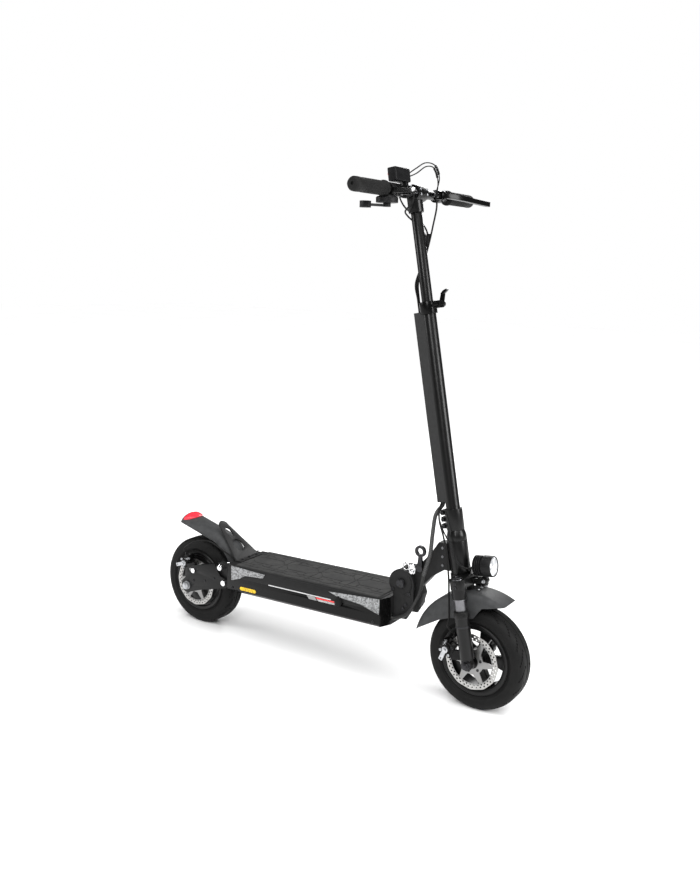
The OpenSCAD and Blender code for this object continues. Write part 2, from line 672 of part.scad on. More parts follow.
module leg_places() { both_sides() translate([fork_offset, leg_y, 0]) children(); }
module fork_crown() {
    boss_r = 18.5;
    color(black) steer_frame() difference() {
        union() {
            translate([0, 0, crown_s - crown_h]) {
                cylinder(r = 27, h = crown_h);
                translate([0, -leg_y, 0]) cube([fork_offset + boss_r - 4, 2 * leg_y, crown_h]);
                leg_places() cylinder(r = boss_r, h = crown_h);
            }
            cylinder_between(steerer_r, crown_s - 4, collar_s + 30);
            translate([fork_offset, 0, axle_s + front_fender_r + 0.4]) cylinder(r = 10, h = 20);
            both_sides() translate([fork_offset + 8, 5 + gap, lamp_pivot_s - 7]) {
                cube([lamp_pivot_w - fork_offset - 8, 4.5, 14]);
                translate([lamp_pivot_w - fork_offset - 8, 0, 7]) rod_y(7, 0, 4.5);
            }
        }
        translate([lamp_pivot_w, 0, lamp_pivot_s]) rod_y(3 + fit, -12, 12);
        translate([0, 0, crown_s - crown_h - 1]) cylinder(r = steerer_r - 4, h = 200);
        translate([0, 0, crown_s - crown_h - 1]) leg_places() cylinder(r = stanchion_r + fit, h = crown_h + 2);
    }
}
module cylinder_between(r, s0, s1) { translate([0, 0, s0]) cylinder(r = r, h = s1 - s0); }
stanchion_end = 70;                  // lower end of the fixed tubes above the axle
module stanchions() {
    color(silver) steer_frame() leg_places() difference() {
        union() {
            cylinder_between(stanchion_r, axle_s + stanchion_end, crown_s + 1.5);
            cylinder_between(stanchion_r + 2, crown_s - crown_h - 26, crown_s - crown_h - seat);
        }
        cylinder_between(stanchion_r - 2.5, axle_s + stanchion_end - 1, crown_s - 6);
    }
}
front_fender_r = 168;
front_fender_t = 2.5;
front_fender_half = leg_y - leg_r - 1.5;
module front_fender_shell(d) {
    rotate([90, 0, 0]) rotate([0, 0, 55]) rotate_extrude(angle = 120, $fn = 120) polygon(concat(
        [[96, -front_fender_half + d]],
        [for (a = [0:15:90]) [front_fender_r - d - 16 + 16 * sin(a), -front_fender_half + d + 16 - 16 * cos(a)]],
        [for (a = [90:-15:0]) [front_fender_r - d - 16 + 16 * sin(a), front_fender_half - d - 16 + 16 * cos(a)]],
        [[96, front_fender_half - d]]));
}
module front_fender() {
    color(dark) at_xz(front_x, axle_z) intersection() {
        difference() {
            front_fender_shell(0);
            front_fender_shell(front_fender_t);
            translate([-200, -leg_y, -200]) cube([400, 2 * leg_y, 200 + 12]);
        }
        plate_xz(-leg_y, leg_y) polygon([[-178, 26], [-150, 49], [-94, 83], [-64, 95], [-2, 108], [20, 138],
            [60, 148], [88, 152], [86, 172], [0, 180], [-120, 180], [-185, 90]]);
    }
}
module headset() {
    top = head_top_s + gap;
    color(black) steer_frame() difference() {
        union() {
            cylinder_between(bearing_r, head_s + seat, head_s + bearing_h - seat);
            cylinder_between(bearing_r, head_top_s - bearing_h + seat, head_top_s + 0.5);
            cylinder_between(head_r, top, top + 12);
            translate([0, 0, top + 12]) cylinder(r1 = head_r, r2 = collar_r - 1.5, h = cover_h - 12);
        }
        cylinder_between(steerer_r + fit, head_s - 1, top + cover_h + 1);
    }
}
// Lower stem: a round tube with a box duct behind it for the cables, on a split collar
duct_half = 15;
duct_back = 34;
duct_wall = 2;
duct_s = stem_s + 18;                // lower end of the duct
module lower_stem() {
    color(black) steer_frame() difference() {
        union() {
            cylinder_between(stem_r, collar_s + 31, stem_top_s);
            cylinder_between(collar_r, collar_s, stem_s);
            translate([-duct_back, -duct_half, duct_s]) cube([duct_back - 6, 2 * duct_half, stem_top_s - duct_s]);
            for (i = [0:2]) translate([-collar_r - 10, -9, collar_s + 3 + 17 * i]) cube([16, 18, 12]);
        }
        cylinder_between(steerer_r + fit, collar_s - 1, collar_s + 31);
        cylinder_between(mast_r + fit, collar_s + 30, stem_top_s + 1);
        translate([-duct_back + duct_wall, -duct_half + duct_wall, duct_s - 1])
            cube([duct_back - stem_r - duct_wall, 2 * duct_half - 2 * duct_wall, stem_top_s - duct_s + 2]);
        translate([-collar_r - 20, -1, collar_s - 1]) cube([24, 2, collar_h + 2]);
        for (i = [0:2]) translate([-collar_r - 5, 0, collar_s + 9 + 17 * i]) rod_y(2.6, -20, 20);
    }
}
// Split clamp at the top of the lower stem that grips the inner tube
clamp_h = 30;
clamp_pin_w = stem_r + 12;
clamp_pin_s = stem_top_s + 14;
module height_clamp() {
    color(black) steer_frame() difference() {
        union() {
            cylinder_between(stem_r + 4, stem_top_s - 6, stem_top_s + clamp_h - 6);
            translate([stem_r - 4, -11, clamp_pin_s - 9]) cube([24, 22, 18]);
        }
        cylinder_between(stem_r + seat, stem_top_s - 7, stem_top_s + seat);
        cylinder_between(mast_r + fit, stem_top_s - 1, stem_top_s + clamp_h);
        translate([0, -1, stem_top_s - 7]) cube([60, 2, clamp_h + 2]);
        translate([-duct_back - 2, -duct_half - 1, stem_top_s - 8]) cube([duct_back - 5, 2 * duct_half + 2, 8 + seat]);
        translate([clamp_pin_w, 0, clamp_pin_s]) rod_y(3.5 + fit, -20, 20);
    }
}
module clamp_lever() {
    color(silver) steer_frame() translate([clamp_pin_w, 0, clamp_pin_s]) {
        rod_y(3.5, -17, 17);
        rod_y(7, 11 + gap, 19);
        rod_y(6, -17, -11 - gap);
        plate_xz(12, 18) polygon([[-6, 0], [4, 44], [14, 50], [13, 38], [6, -4]]);
    }
}

// Round lamp on the crown, and the arm that carries it
lamp_r = 26;
lamp_w = 66;
lamp_s = crown_s + 18;
module headlight() {
    mid = steer_pt(lamp_w, lamp_s);
    color(black) at_xz(mid[0], mid[1]) rotate([0, 82, 0]) difference() {
        union() {
            translate([0, 0, -24]) cylinder(r = lamp_r - 4, h = 18);
            for (i = [0:3]) translate([0, 0, -24 + 6 * i]) cylinder(r = lamp_r - 1, h = 3);
            translate([0, 0, -8]) cylinder(r = lamp_r, h = 34);
        }
        translate([0, 0, 18]) cylinder(r = lamp_r - 3, h = 20);
    }
    color([0.9, 0.93, 0.96]) at_xz(mid[0], mid[1]) rotate([0, 82, 0]) translate([0, 0, 18 + seat]) cylinder(r = lamp_r - 3 - seat, h = 5);
    color(black) lamp_pivot() {
        rod_y(8, -5, 5);
        rod_y(3, -9, 9);
        translate([-5, -5, 2]) cube([10, 10, 12]);
    }
}
lamp_pivot_w = lamp_w - 2;
lamp_pivot_s = lamp_s - lamp_r - 10;
module lamp_pivot() {
    at = steer_pt(lamp_pivot_w, lamp_pivot_s);
    at_xz(at[0], at[1]) children();
}

// ---- sliding fork legs

module fork_lowers() {
    color(black) steer_frame() leg_places() difference() {
        union() {
            cylinder_between(leg_r, axle_s + 14, axle_s + 124);
            translate([0, 0, axle_s]) rod_y(14, -9, 9);
            translate([-10, -9, axle_s]) cube([20, 18, 16]);
            cylinder_between(leg_r + 1, axle_s + 116, axle_s + 124);
        }
        cylinder_between(stanchion_r + fit, axle_s + 30, axle_s + 125);
        translate([0, 0, axle_s]) rod_y(axle_r + fit, -30, 30);
    }
}
module front_axle() {
    out = leg_y + 9;
    color(silver) at_xz(front_x, axle_z) {
        rod_y(axle_r, -out - 12, out + 12);
        both_sides() {
            rod_y(9, -rotor_y + 3, leg_y - 9 - seat);
            rod_y(12, out + seat, out + 2);
            translate([0, out + 9, 0]) rotate([90, 0, 0]) cylinder(r = 10, h = 7.2, $fn = 6);
        }
    }
}
module fork_springs() {
    wire = 1.8;
    color(silver) steer_frame() leg_places() translate([0, 0, axle_s + 30 + wire + seat])
        tube_along(coil_pts(stanchion_r - 3, stanchion_end - 30 - 2 * (wire + seat), 5, 14), wire, 6);
}

// ---- mast, handlebar and controls

mast_in = 290;                       // length of the inner tube inside the lower stem
module inner_tube() {
    color(black) steer_frame() difference() {
        cylinder_between(mast_r, stem_top_s - mast_in, bar_s - bar_r - 8);
        cylinder_between(mast_r - 2, stem_top_s - mast_in - 1, bar_s - bar_r - 12);
    }
}
module bar_clamp() {
    color(black) difference() {
        union() {
            steer_frame() {
                cylinder_between(mast_r + 5, bar_s - 46, bar_s - 2);
                translate([bar_w, 0, bar_s]) rod_y(20, -24, 24);
            }
        }
        steer_frame() {
            cylinder_between(mast_r + fit, bar_s - 50, bar_s - bar_r - 8 + seat);
            translate([bar_w, 0, bar_s]) rod_y(bar_r + fit, -30, 30);
        }
    }
}
module handlebar() {
    color(black) bar_frame() difference() {
        rod_y(bar_r, -bar_half, bar_half);
        rod_y(bar_r - 2, -bar_half - 1, bar_half + 1);
    }
}
grip_cap = 4;
module grips() {
    color(rubber) bar_frame() both_sides() difference() {
        union() {
            rod_y(16.5, bar_half + grip_cap - grip_len, bar_half + grip_cap);
            translate([-15, bar_half + grip_cap - 74, -6]) cube([14, 70, 12]);
            translate([-36, bar_half + grip_cap - 62, -3.5]) cube([24, 52, 9]);
        }
        rod_y(bar_r + fit, bar_half - grip_len, bar_half + seat);
    }
}
perch_y = 104;                       // middle of each brake lever perch
lever_x = 28;                        // lever pivot in front of the handlebar
lever_y = 84;
lever_t = 12;
module lever_perches() {
    color(black) bar_frame() both_sides() difference() {
        union() {
            rod_y(bar_r + 5, perch_y - 11, perch_y + 11);
            translate([6, lever_y - 9, -10]) cube([lever_x - 14, 30, 20]);
            translate([lever_x, lever_y, -10]) cylinder(r = 9, h = 20);
            translate([6, lever_y - 9, -10]) cube([lever_x - 6, 18, 20]);
            translate([lever_x - 6, 0, 0]) rod_y(6, lever_y - 28, lever_y - 8);
        }
        rod_y(bar_r + fit, lever_y - 30, perch_y + 20);
        translate([lever_x - 11, lever_y - 12, -lever_t / 2 - gap]) cube([30, 34, lever_t + 2 * gap]);
        translate([lever_x, lever_y, -12]) cylinder(r = 3.1, h = 24);
    }
}
// Brake lever blade: a hub, a neck and a long blade that ends in a squared tip
module lever_blade() {
    color(dark) translate([lever_x, lever_y, -lever_t / 2]) {
        translate([0, 0, -4]) cylinder(r = 3, h = lever_t + 8);
        cylinder(r = 8, h = lever_t);
        linear_extrude(lever_t) polygon([[-2, 6], [6, -6], [22, 12], [38, 60], [48, 110], [58, 152], [53, 156],
            [44, 150], [34, 112], [26, 64], [12, 26]]);
    }
}
module brake_lever_left() { bar_frame() lever_blade(); }
module brake_lever_right() { bar_frame() mirror([0, 1, 0]) lever_blade(); }

throttle_y = -138;
throttle_drop = 26;                  // disc of the thumb throttle below the bar
module throttle_housing() {
    color(black) bar_frame() difference() {
        union() {
            rod_y(bar_r + 5, throttle_y + 2, throttle_y + 20);
            translate([0, throttle_y, -throttle_drop - 6]) cylinder(r = 26, h = 10);
            translate([-8, throttle_y + 2, -throttle_drop]) cube([16, 18, 18]);
        }
        rod_y(bar_r + fit, throttle_y - 30, throttle_y + 30);
        translate([0, throttle_y, -throttle_drop - 10]) cylinder(r = 5 + fit, h = 12);
    }
}
// Thumb lever: a hub under the disc, an arm and a paddle behind the right grip
module thumb_throttle() {
    color(black) bar_frame() translate([0, throttle_y, -throttle_drop - 6 - gap]) {
        translate([0, 0, -9]) cylinder(r = 9, h = 9);
        translate([0, 0, -2]) cylinder(r = 5, h = 8);
        rotate([0, 0, 239]) translate([0, -3, -9]) cube([48, 6, 6]);
        rotate([0, 0, 239]) translate([56, 0, -13]) cylinder(r = 14, h = 15, $fn = 8);
    }
}
display_y = -84;
display_w = 72;
display_lift = 20;                   // underside of the display above the bar's axis
module display() {
    color(black) bar_frame() difference() {
        union() {
            rod_y(bar_r + 5, display_y + 20, display_y + 34);
            translate([-6, display_y + 20, bar_r]) cube([12, 14, 14]);
            translate([-14, display_y - display_w / 2, display_lift]) cube([30, display_w, 34]);
        }
        rod_y(bar_r + fit, display_y - 60, display_y + 60);
        translate([-15, display_y - 12, display_lift + 17]) cube([3, 40, 24], center = true);
        translate([-15, display_y - 26, display_lift + 17]) rotate([0, 90, 0]) cylinder(r = 4 + gap, h = 5);
    }
}
module power_button() {
    color("red") bar_frame() translate([-16, display_y - 26, display_lift + 17]) rotate([0, 90, 0])
        cylinder(r = 4, h = 4);
}

// ---- cables

cable_r = 2.5;
harness_r = 5;
// A point of the steering frame as [x, y, z]
function steer_pt3(w, y, s) = let (p = steer_pt(w, s)) [p[0], y, p[1]];
duct_mid = duct_back - 8;            // middle of the duct behind the steering axis
// Three leads from the bar to the duct: places are [w, y, s above the handlebar]
lead_routes = [
    [[30, 53, 0], [36, 40, -40], [24, 27, -90], [-6, 24, -150], [-24, 9, -205]],
    [[30, -53, 0], [34, -34, -40], [20, -26, -90], [-8, -24, -150], [-24, -9, -205]],
    [[6, -45, 34], [-24, -34, 0], [-34, -30, -40], [-34, -20, -90], [-32, -6, -150], [-27, 0, -205]]];
module bar_cables() {
    color(rubber) for (r = lead_routes) tube_along(smooth(concat(
        [for (p = r) steer_pt3(p[0], p[1], bar_s + p[2])],
        [for (s = [stem_top_s + 34, stem_top_s - 3]) steer_pt3(-duct_mid - 0.5, r[len(r) - 1][1] * 0.8, s)]), 3), cable_r, 8);
}
// Sleeved bundle from the duct, past the right side of the neck and hinge, into the nose
module main_harness() {
    nose = [front_end_x + nose_d - 5, harness_y, front_end_z - deck_h + 18];
    color(rubber) tube_along(smooth([steer_pt3(-duct_mid + 1.3, 0, duct_s + 4), steer_pt3(-duct_mid - 2, -1, duct_s - 9),
        steer_pt3(-duct_mid - 21, -8, stem_s - 14), steer_pt3(-duct_mid - 30, -20, stem_s - 60),
        steer_pt3(-duct_mid - 38, -32, stem_s - 110), [hinge_x + 70, -44, hinge_z + 38],
        [hinge_x + 61, -47, hinge_z - 12], [hinge_x + 30, -46, hinge_z - 68], nose + [16, 0, 0.6],
        nose + [6, 0, 0.2], nose], 4), harness_r, 10);
}
module front_brake_cable() {
    stop = [front_x - 46, rotor_y - 12, axle_z + 54];
    color(rubber) tube_along(smooth([steer_pt3(-duct_mid + 5, -8, duct_s + 4), steer_pt3(-duct_mid - 2, -14, duct_s - 10),
        steer_pt3(-duct_mid - 12, -24, stem_s - 40), [front_x - 112, -50, axle_z + 236],
        [front_x - 84, -74, axle_z + 180], [front_x - 66, -86, axle_z + 128], [front_x - 52, -74, axle_z + 86],
        stop + [3, -2, 10], stop], 4), cable_r, 8);
}
module rear_brake_cable() {
    stop = [rear_x - 30, rotor_y - 16, axle_z + 93];
    color(rubber) tube_along(smooth([[rear_end_x - 5, -42, rear_end_z - 5], [rear_end_x - 18, -42, rear_end_z + 6],
        [rear_x + 108, -45, axle_z + 118], [rear_x + 60, -52, axle_z + 138], [rear_x + 14, -58, axle_z + 130],
        stop + [1, 0, 10], stop], 4), cable_r, 8);
}

deck_shell();
deck_lid();
deck_mat();
side_lights();
battery_pack();
controller();
charge_port();
kick_plate();
rear_fender();
tail_light();
front_bracket();
rear_bracket();
hinge_pin();
charge_cap();
kickstand();
fold_latch();
swing_arm();
swing_bolts();
rear_axle();
rear_caliper();
rear_caliper_arm();
hub_motor();
rear_tyre();
rear_rotor();
shock_bodies();
shock_rods();
shock_springs();
neck_bracket();
head_tube();
fork_crown();
stanchions();
front_fender();
headset();
lower_stem();
height_clamp();
headlight();
clamp_lever();
fork_lowers();
front_axle();
front_caliper();
front_caliper_arm();
fork_springs();
front_rim();
front_tyre();
front_rotor();
inner_tube();
bar_clamp();
handlebar();
grips();
lever_perches();
throttle_housing();
display();
brake_lever_right();
brake_lever_left();
thumb_throttle();
power_button();
bar_cables();
main_harness();
front_brake_cable();
rear_brake_cable();
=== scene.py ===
"""Looks of a folding electric kick scooter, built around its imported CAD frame.

Metres. +X is forward, +Y is the rider's left, +Z is up, and the origin is on the ground
half way between the two axles. Each sub-assembly is a class that holds its own sizes.
"""
from __future__ import annotations

import json
import logging
import math
from dataclasses import dataclass, field
from enum import Enum
from typing import Callable, Iterable, Sequence

import bpy
import bmesh
from mathutils import Matrix, Vector

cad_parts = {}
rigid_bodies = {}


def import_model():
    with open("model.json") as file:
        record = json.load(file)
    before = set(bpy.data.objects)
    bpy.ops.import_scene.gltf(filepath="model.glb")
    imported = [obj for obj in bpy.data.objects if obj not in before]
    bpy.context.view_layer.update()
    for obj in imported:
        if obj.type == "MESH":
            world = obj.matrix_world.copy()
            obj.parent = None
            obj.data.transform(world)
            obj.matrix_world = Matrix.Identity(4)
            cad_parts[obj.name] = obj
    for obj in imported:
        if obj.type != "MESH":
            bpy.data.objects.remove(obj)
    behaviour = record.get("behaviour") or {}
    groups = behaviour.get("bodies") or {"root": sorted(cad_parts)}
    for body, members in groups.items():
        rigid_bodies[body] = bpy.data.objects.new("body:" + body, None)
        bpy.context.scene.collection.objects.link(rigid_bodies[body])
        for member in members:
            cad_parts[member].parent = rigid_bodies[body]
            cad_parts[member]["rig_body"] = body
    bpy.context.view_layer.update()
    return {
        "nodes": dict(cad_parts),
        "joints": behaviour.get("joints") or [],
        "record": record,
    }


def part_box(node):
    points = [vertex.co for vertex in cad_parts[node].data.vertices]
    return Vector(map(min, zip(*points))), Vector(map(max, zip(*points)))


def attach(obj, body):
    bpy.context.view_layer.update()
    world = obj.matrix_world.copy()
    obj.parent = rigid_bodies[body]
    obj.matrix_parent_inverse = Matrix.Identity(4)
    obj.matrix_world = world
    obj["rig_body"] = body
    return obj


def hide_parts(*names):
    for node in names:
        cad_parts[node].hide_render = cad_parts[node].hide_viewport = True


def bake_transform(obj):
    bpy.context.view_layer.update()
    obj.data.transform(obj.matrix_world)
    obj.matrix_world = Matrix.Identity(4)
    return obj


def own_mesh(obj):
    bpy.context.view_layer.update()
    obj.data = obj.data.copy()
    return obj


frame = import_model()

LOG = logging.getLogger("scooter")
MM = 0.001
SIDES = ((-1, "right"), (1, "left"))
STEM_TOP = 984.48                        # top of the fixed stem along the steering axis, mm
BAR_HEIGHT = 1274.48                     # middle of the handlebar along that axis, mm
Point = Sequence[float]
Face = bmesh.types.BMFace


# ---------------------------------------------------------------- places

class Tilt:
    """A frame turned about Y, as the steering axis and the deck are."""

    def __init__(self, origin: Point, degrees: float) -> None:
        """Args: origin: its foot in metres. degrees: lean towards -X as +Z rises."""
        self.origin = Vector(origin)
        self.turn = Matrix.Rotation(-math.radians(degrees), 4, "Y")

    def at(self, x: float, y: float, z: float) -> Vector:
        """Args: x, y, z: place in the turned frame, in mm. Returns: the place in metres."""
        return self.origin + (self.turn @ Vector((x * MM, y * MM, z * MM)))

    def way(self, x: float, y: float, z: float) -> Vector:
        """Args: x, y, z: a direction in the turned frame. Returns: it, in the row frame."""
        return (self.turn.to_3x3() @ Vector((x, y, z))).normalized()

    def shift(self, x: float, y: float, z: float) -> Matrix:
        """Args: x, y, z: place in the turned frame, in mm. Returns: matrix that takes a shape there."""
        return self.matrix @ Matrix.Translation(Vector((x, y, z)) * MM)

    @property
    def matrix(self) -> Matrix:
        """Matrix that moves a shape made at the origin, in metres, into this frame."""
        return Matrix.Translation(self.origin) @ self.turn


def joint(name: str) -> dict:
    """Args: name: a joint of the record. Returns: its entry."""
    return next(j for j in frame["joints"] if j["name"] == name)


def centre(node: str) -> Vector:
    """Args: node: a CAD node. Returns: the middle of its box, in metres."""
    low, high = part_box(node)
    return (low + high) / 2


STEER_AXIS = Vector(joint("steering")["axis"])
RAKE = math.degrees(math.atan2(-STEER_AXIS.x, STEER_AXIS.z))
STEER_AT = Vector(joint("steering")["pos_m"])
STEER = Tilt((STEER_AT - STEER_AXIS * (STEER_AT.z / STEER_AXIS.z)).to_tuple(), RAKE)
DECK_MOUNT = next(m for m in frame["record"]["mounts"] if m["name"] == "deck_top")
DECK_TILT = math.degrees(math.atan2(-DECK_MOUNT["axis"][0], DECK_MOUNT["axis"][2]))
DECK_MID = 40.0                          # the deck mount in front of the deck's middle, mm
DECK = Tilt(Vector(DECK_MOUNT["pos_m"]) - Matrix.Rotation(-math.radians(DECK_TILT), 3, "Y")
            @ Vector((DECK_MID * MM, 0, 0)), DECK_TILT)
FRONT_HUB = Vector(joint("front_wheel_spin")["pos_m"])
REAR_HUB = Vector(joint("rear_wheel_spin")["pos_m"])
HINGE = Vector(joint("fold")["pos_m"])
BAR = Vector((centre("handlebar").x, 0, centre("handlebar").z))


# ---------------------------------------------------------------- shader writing

class Value:
    """A socket of a material with arithmetic: each operator adds a Math node."""

    def __init__(self, paint: "Paint", socket: bpy.types.NodeSocket) -> None:
        """Args: paint: the material's builder. socket: the output that is wrapped."""
        self.paint = paint
        self.socket = socket

    def _math(self, op: str, first: object, second: object) -> "Value":
        """Args: op: the Math operation. first, second: inputs. Returns: the result."""
        return self.paint.node("ShaderNodeMath", {"operation": op}, first, second)

    def __add__(self, other: object) -> "Value":
        """Sum of this and other."""
        return self._math("ADD", self, other)

    def __radd__(self, other: object) -> "Value":
        """Sum of other and this."""
        return self._math("ADD", other, self)

    def __sub__(self, other: object) -> "Value":
        """This less other."""
        return self._math("SUBTRACT", self, other)

    def __rsub__(self, other: object) -> "Value":
        """Other less this."""
        return self._math("SUBTRACT", other, self)

    def __mul__(self, other: object) -> "Value":
        """This times other."""
        return self._math("MULTIPLY", self, other)

    def __rmul__(self, other: object) -> "Value":
        """Other times this."""
        return self._math("MULTIPLY", other, self)

    def __gt__(self, other: object) -> "Value":
        """1 where this is above other, else 0."""
        return self._math("GREATER_THAN", self, other)

    def __lt__(self, other: object) -> "Value":
        """1 where this is below other, else 0."""
        return self._math("LESS_THAN", self, other)

    def call(self, op: str, other: object = 0.0) -> "Value":
        """Args: op: any Math operation. other: its second input. Returns: the result."""
        return self._math(op, self, other)


class Paint:
    """Builds one material: a Principled shader and the nodes that vary it."""

    def __init__(self, name: str, **fixed: object) -> None:
        """Args: name: the material's name. fixed: shader inputs that are the same all over."""
        self.material = bpy.data.materials.new(name)
        self.material.use_nodes = True
        self.tree = self.material.node_tree
        self.shader = self.tree.nodes["Principled BSDF"]
        for key, value in fixed.items():
            self.shader.inputs[key.replace("_", " ")].default_value = value

    def _feed(self, socket: bpy.types.NodeSocket, value: object) -> None:
        """Args: socket: an input. value: a Value, a number, a colour or None to leave it."""
        if isinstance(value, Value):
            self.tree.links.new(value.socket, socket)
        elif value is not None:
            socket.default_value = value

    def node(self, kind: str, settings: dict | None = None, *args: object, out: int | str = 0,
             **named: object) -> Value:
        """Adds a node.

        Args:
            kind: the node's type.
            settings: properties that are set before its inputs.
            args: its inputs in order.
            out: the output to return.
            named: inputs by name, with _ for a space.

        Returns:
            The chosen output.
        """
        made = self.tree.nodes.new(kind)
        for key, value in (settings or {}).items():
            if key == "stops":
                ramp = made.color_ramp.elements
                while len(ramp) < len(value):
                    ramp.new(0.5)
                for element, (place, colour) in zip(ramp, value):
                    element.position, element.color = place, colour
            else:
                setattr(made, key, value)
        for socket, value in zip(made.inputs, args):
            self._feed(socket, value)
        for key, value in named.items():
            self._feed(made.inputs[key.replace("_", " ")], value)
        return Value(self, made.outputs[out])

    def place(self, scale: Point = (1, 1, 1), at: Point = (0, 0, 0), turn: Point = (0, 0, 0)) -> Value:
        """Args: scale, at, turn: Mapping of the object's coordinates. Returns: the vector."""
        coords = self.node("ShaderNodeTexCoord", out="Object")
        return self.node("ShaderNodeMapping", None, coords, tuple(at), tuple(turn), tuple(scale))

    def noise(self, size: float, detail: float = 3.0, where: Value | None = None,
              rough: float = 0.55) -> Value:
        """Args: size: grain in metres. detail: octaves. where: coordinates. rough: octave gain.
        Returns: noise from 0 to 1."""
        where = where or self.place()
        return self.node("ShaderNodeTexNoise", {"noise_dimensions": "3D"}, Vector=where, Scale=1 / size,
                         Detail=detail, Roughness=rough)

    def blend(self, factor: Value | float, first: object, second: object) -> Value:
        """Args: factor: 0 to 1. first, second: colours. Returns: their mix."""
        made = self.tree.nodes.new("ShaderNodeMix")
        made.data_type = "RGBA"
        for index, value in ((0, factor), (6, first), (7, second)):
            self._feed(made.inputs[index], value)
        return Value(self, made.outputs[2])

    def curve(self, value: Value, low: float, high: float, to_low: float = 0.0,
              to_high: float = 1.0) -> Value:
        """Args: value: what is remapped, from low..high to to_low..to_high. Returns: the result."""
        return self.node("ShaderNodeMapRange", {"clamp": True}, value, low, high, to_low, to_high)

    def bump(self, height: Value, depth: float, strength: float = 1.0, under: Value | None = None) -> Value:
        """Args: height: 0 to 1. depth: metres. strength: share. under: a normal. Returns: the normal."""
        return self.node("ShaderNodeBump", None, strength, depth, Height=height, Normal=under)

    def wear(self, radius: float) -> Value:
        """Args: radius: how far an edge reaches, in metres. Returns: 0 on faces, up to 1 on edges."""
        bevel = self.node("ShaderNodeBevel", {"samples": 4}, radius)
        geometry = self.node("ShaderNodeNewGeometry", out="Normal")
        dot = self.node("ShaderNodeVectorMath", {"operation": "DOT_PRODUCT"}, bevel, geometry, out="Value")
        return self.curve(1.0 - dot, 0.015, 0.16)

    def set(self, **feeds: object) -> bpy.types.Material:
        """Args: feeds: shader inputs by name. Returns: the finished material."""
        for key, value in feeds.items():
            self._feed(self.shader.inputs[key.replace("_", " ")], value)
        return self.material


def grey(level: float, tint: Point = (1.0, 1.0, 1.0)) -> tuple[float, float, float, float]:
    """Args: level: linear brightness. tint: colour factor. Returns: an opaque colour."""
    return (level * tint[0], level * tint[1], level * tint[2], 1.0)


@dataclass(frozen=True)
class Coat:
    """Powder coat or lacquer on metal: fine peel, cloudy gloss, paler edges."""
    name: str
    base: float
    rough: float
    peel: float = 0.0012
    depth: float = 0.00004
    edge: float = 0.012
    clear: float = 0.0
    shine: float = 0.2

    def build(self) -> bpy.types.Material:
        """Returns: the material."""
        paint = Paint(self.name, IOR=1.5, Coat_Roughness=0.18, Coat_Weight=self.clear,
                      Specular_IOR_Level=self.shine)
        cloud = paint.noise(0.05, 3)
        dust = paint.noise(0.009, 5)
        tone = paint.blend(paint.curve(dust, 0.35, 0.75), grey(self.base * 0.88), grey(self.base * 1.14,
                                                                                       (1, 1, 1.02)))
        tone = paint.blend(paint.wear(0.0009) * paint.curve(dust, 0.3, 0.6), tone,
                           grey(self.base + self.edge))
        peel = paint.noise(self.peel, 2)
        rough = self.rough - 0.06 + cloud * 0.08 + dust * 0.05
        return paint.set(Base_Color=tone, Roughness=rough, Normal=paint.bump(peel, self.depth, 0.7))


@dataclass(frozen=True)
class Steel:
    """Bare or plated metal with brush lines along one direction."""
    name: str
    colour: tuple[float, float, float]
    rough: float
    lines: tuple[float, float, float] = (40.0, 900.0, 40.0)
    stain: float = 0.25

    def build(self) -> bpy.types.Material:
        """Returns: the material."""
        paint = Paint(self.name, Metallic=1.0)
        brushed = paint.node("ShaderNodeTexNoise", None, Vector=paint.place(self.lines), Scale=1.0,
                             Detail=4.0)
        haze = paint.noise(0.012, 4)
        dark = tuple(c * (1 - self.stain) for c in self.colour) + (1.0,)
        tone = paint.blend(paint.curve(haze, 0.35, 0.7), dark, self.colour + (1.0,))
        rough = self.rough - 0.05 + brushed * 0.12 + haze * 0.06
        return paint.set(Base_Color=tone, Roughness=rough, Normal=paint.bump(brushed, 0.00003, 0.5))


@dataclass(frozen=True)
class Rubber:
    """Matt rubber: fine pores, a little dust in random patches, paler rubbed edges."""
    name: str
    base: float
    rough: float = 0.72
    pores: float = 0.0008
    edge: float = 0.02

    def build(self) -> bpy.types.Material:
        """Returns: the material."""
        paint = Paint(self.name, Specular_IOR_Level=0.12)
        pores = paint.noise(self.pores, 4)
        patch = paint.noise(0.03, 4)
        tone = paint.blend(paint.curve(patch, 0.35, 0.7), grey(self.base * 0.8), grey(self.base * 1.25,
                                                                                      (1, 0.99, 0.97)))
        tone = paint.blend(paint.wear(0.0012) * 0.6, tone, grey(self.base + self.edge))
        return paint.set(Base_Color=tone, Roughness=self.rough + (patch - 0.5) * 0.14,
                         Normal=paint.bump(pores, 0.00012, 0.8))


@dataclass(frozen=True)
class Moulded:
    """Moulded plastic with a spark-eroded grain."""
    name: str
    colour: tuple[float, float, float]
    rough: float
    grain: float = 0.0005
    depth: float = 0.00005

    def build(self) -> bpy.types.Material:
        """Returns: the material."""
        paint = Paint(self.name, IOR=1.48, Specular_IOR_Level=0.18)
        grain = paint.noise(self.grain, 3)
        haze = paint.noise(0.02, 4)
        dark = tuple(c * 0.85 for c in self.colour) + (1.0,)
        pale = tuple(min(1.0, c * 1.15 + 0.004) for c in self.colour) + (1.0,)
        tone = paint.blend(paint.curve(haze, 0.35, 0.7), dark, pale)
        tone = paint.blend(paint.wear(0.0008) * 0.5, tone, pale)
        return paint.set(Base_Color=tone, Roughness=self.rough + (haze - 0.5) * 0.16,
                         Normal=paint.bump(grain, self.depth, 0.8))


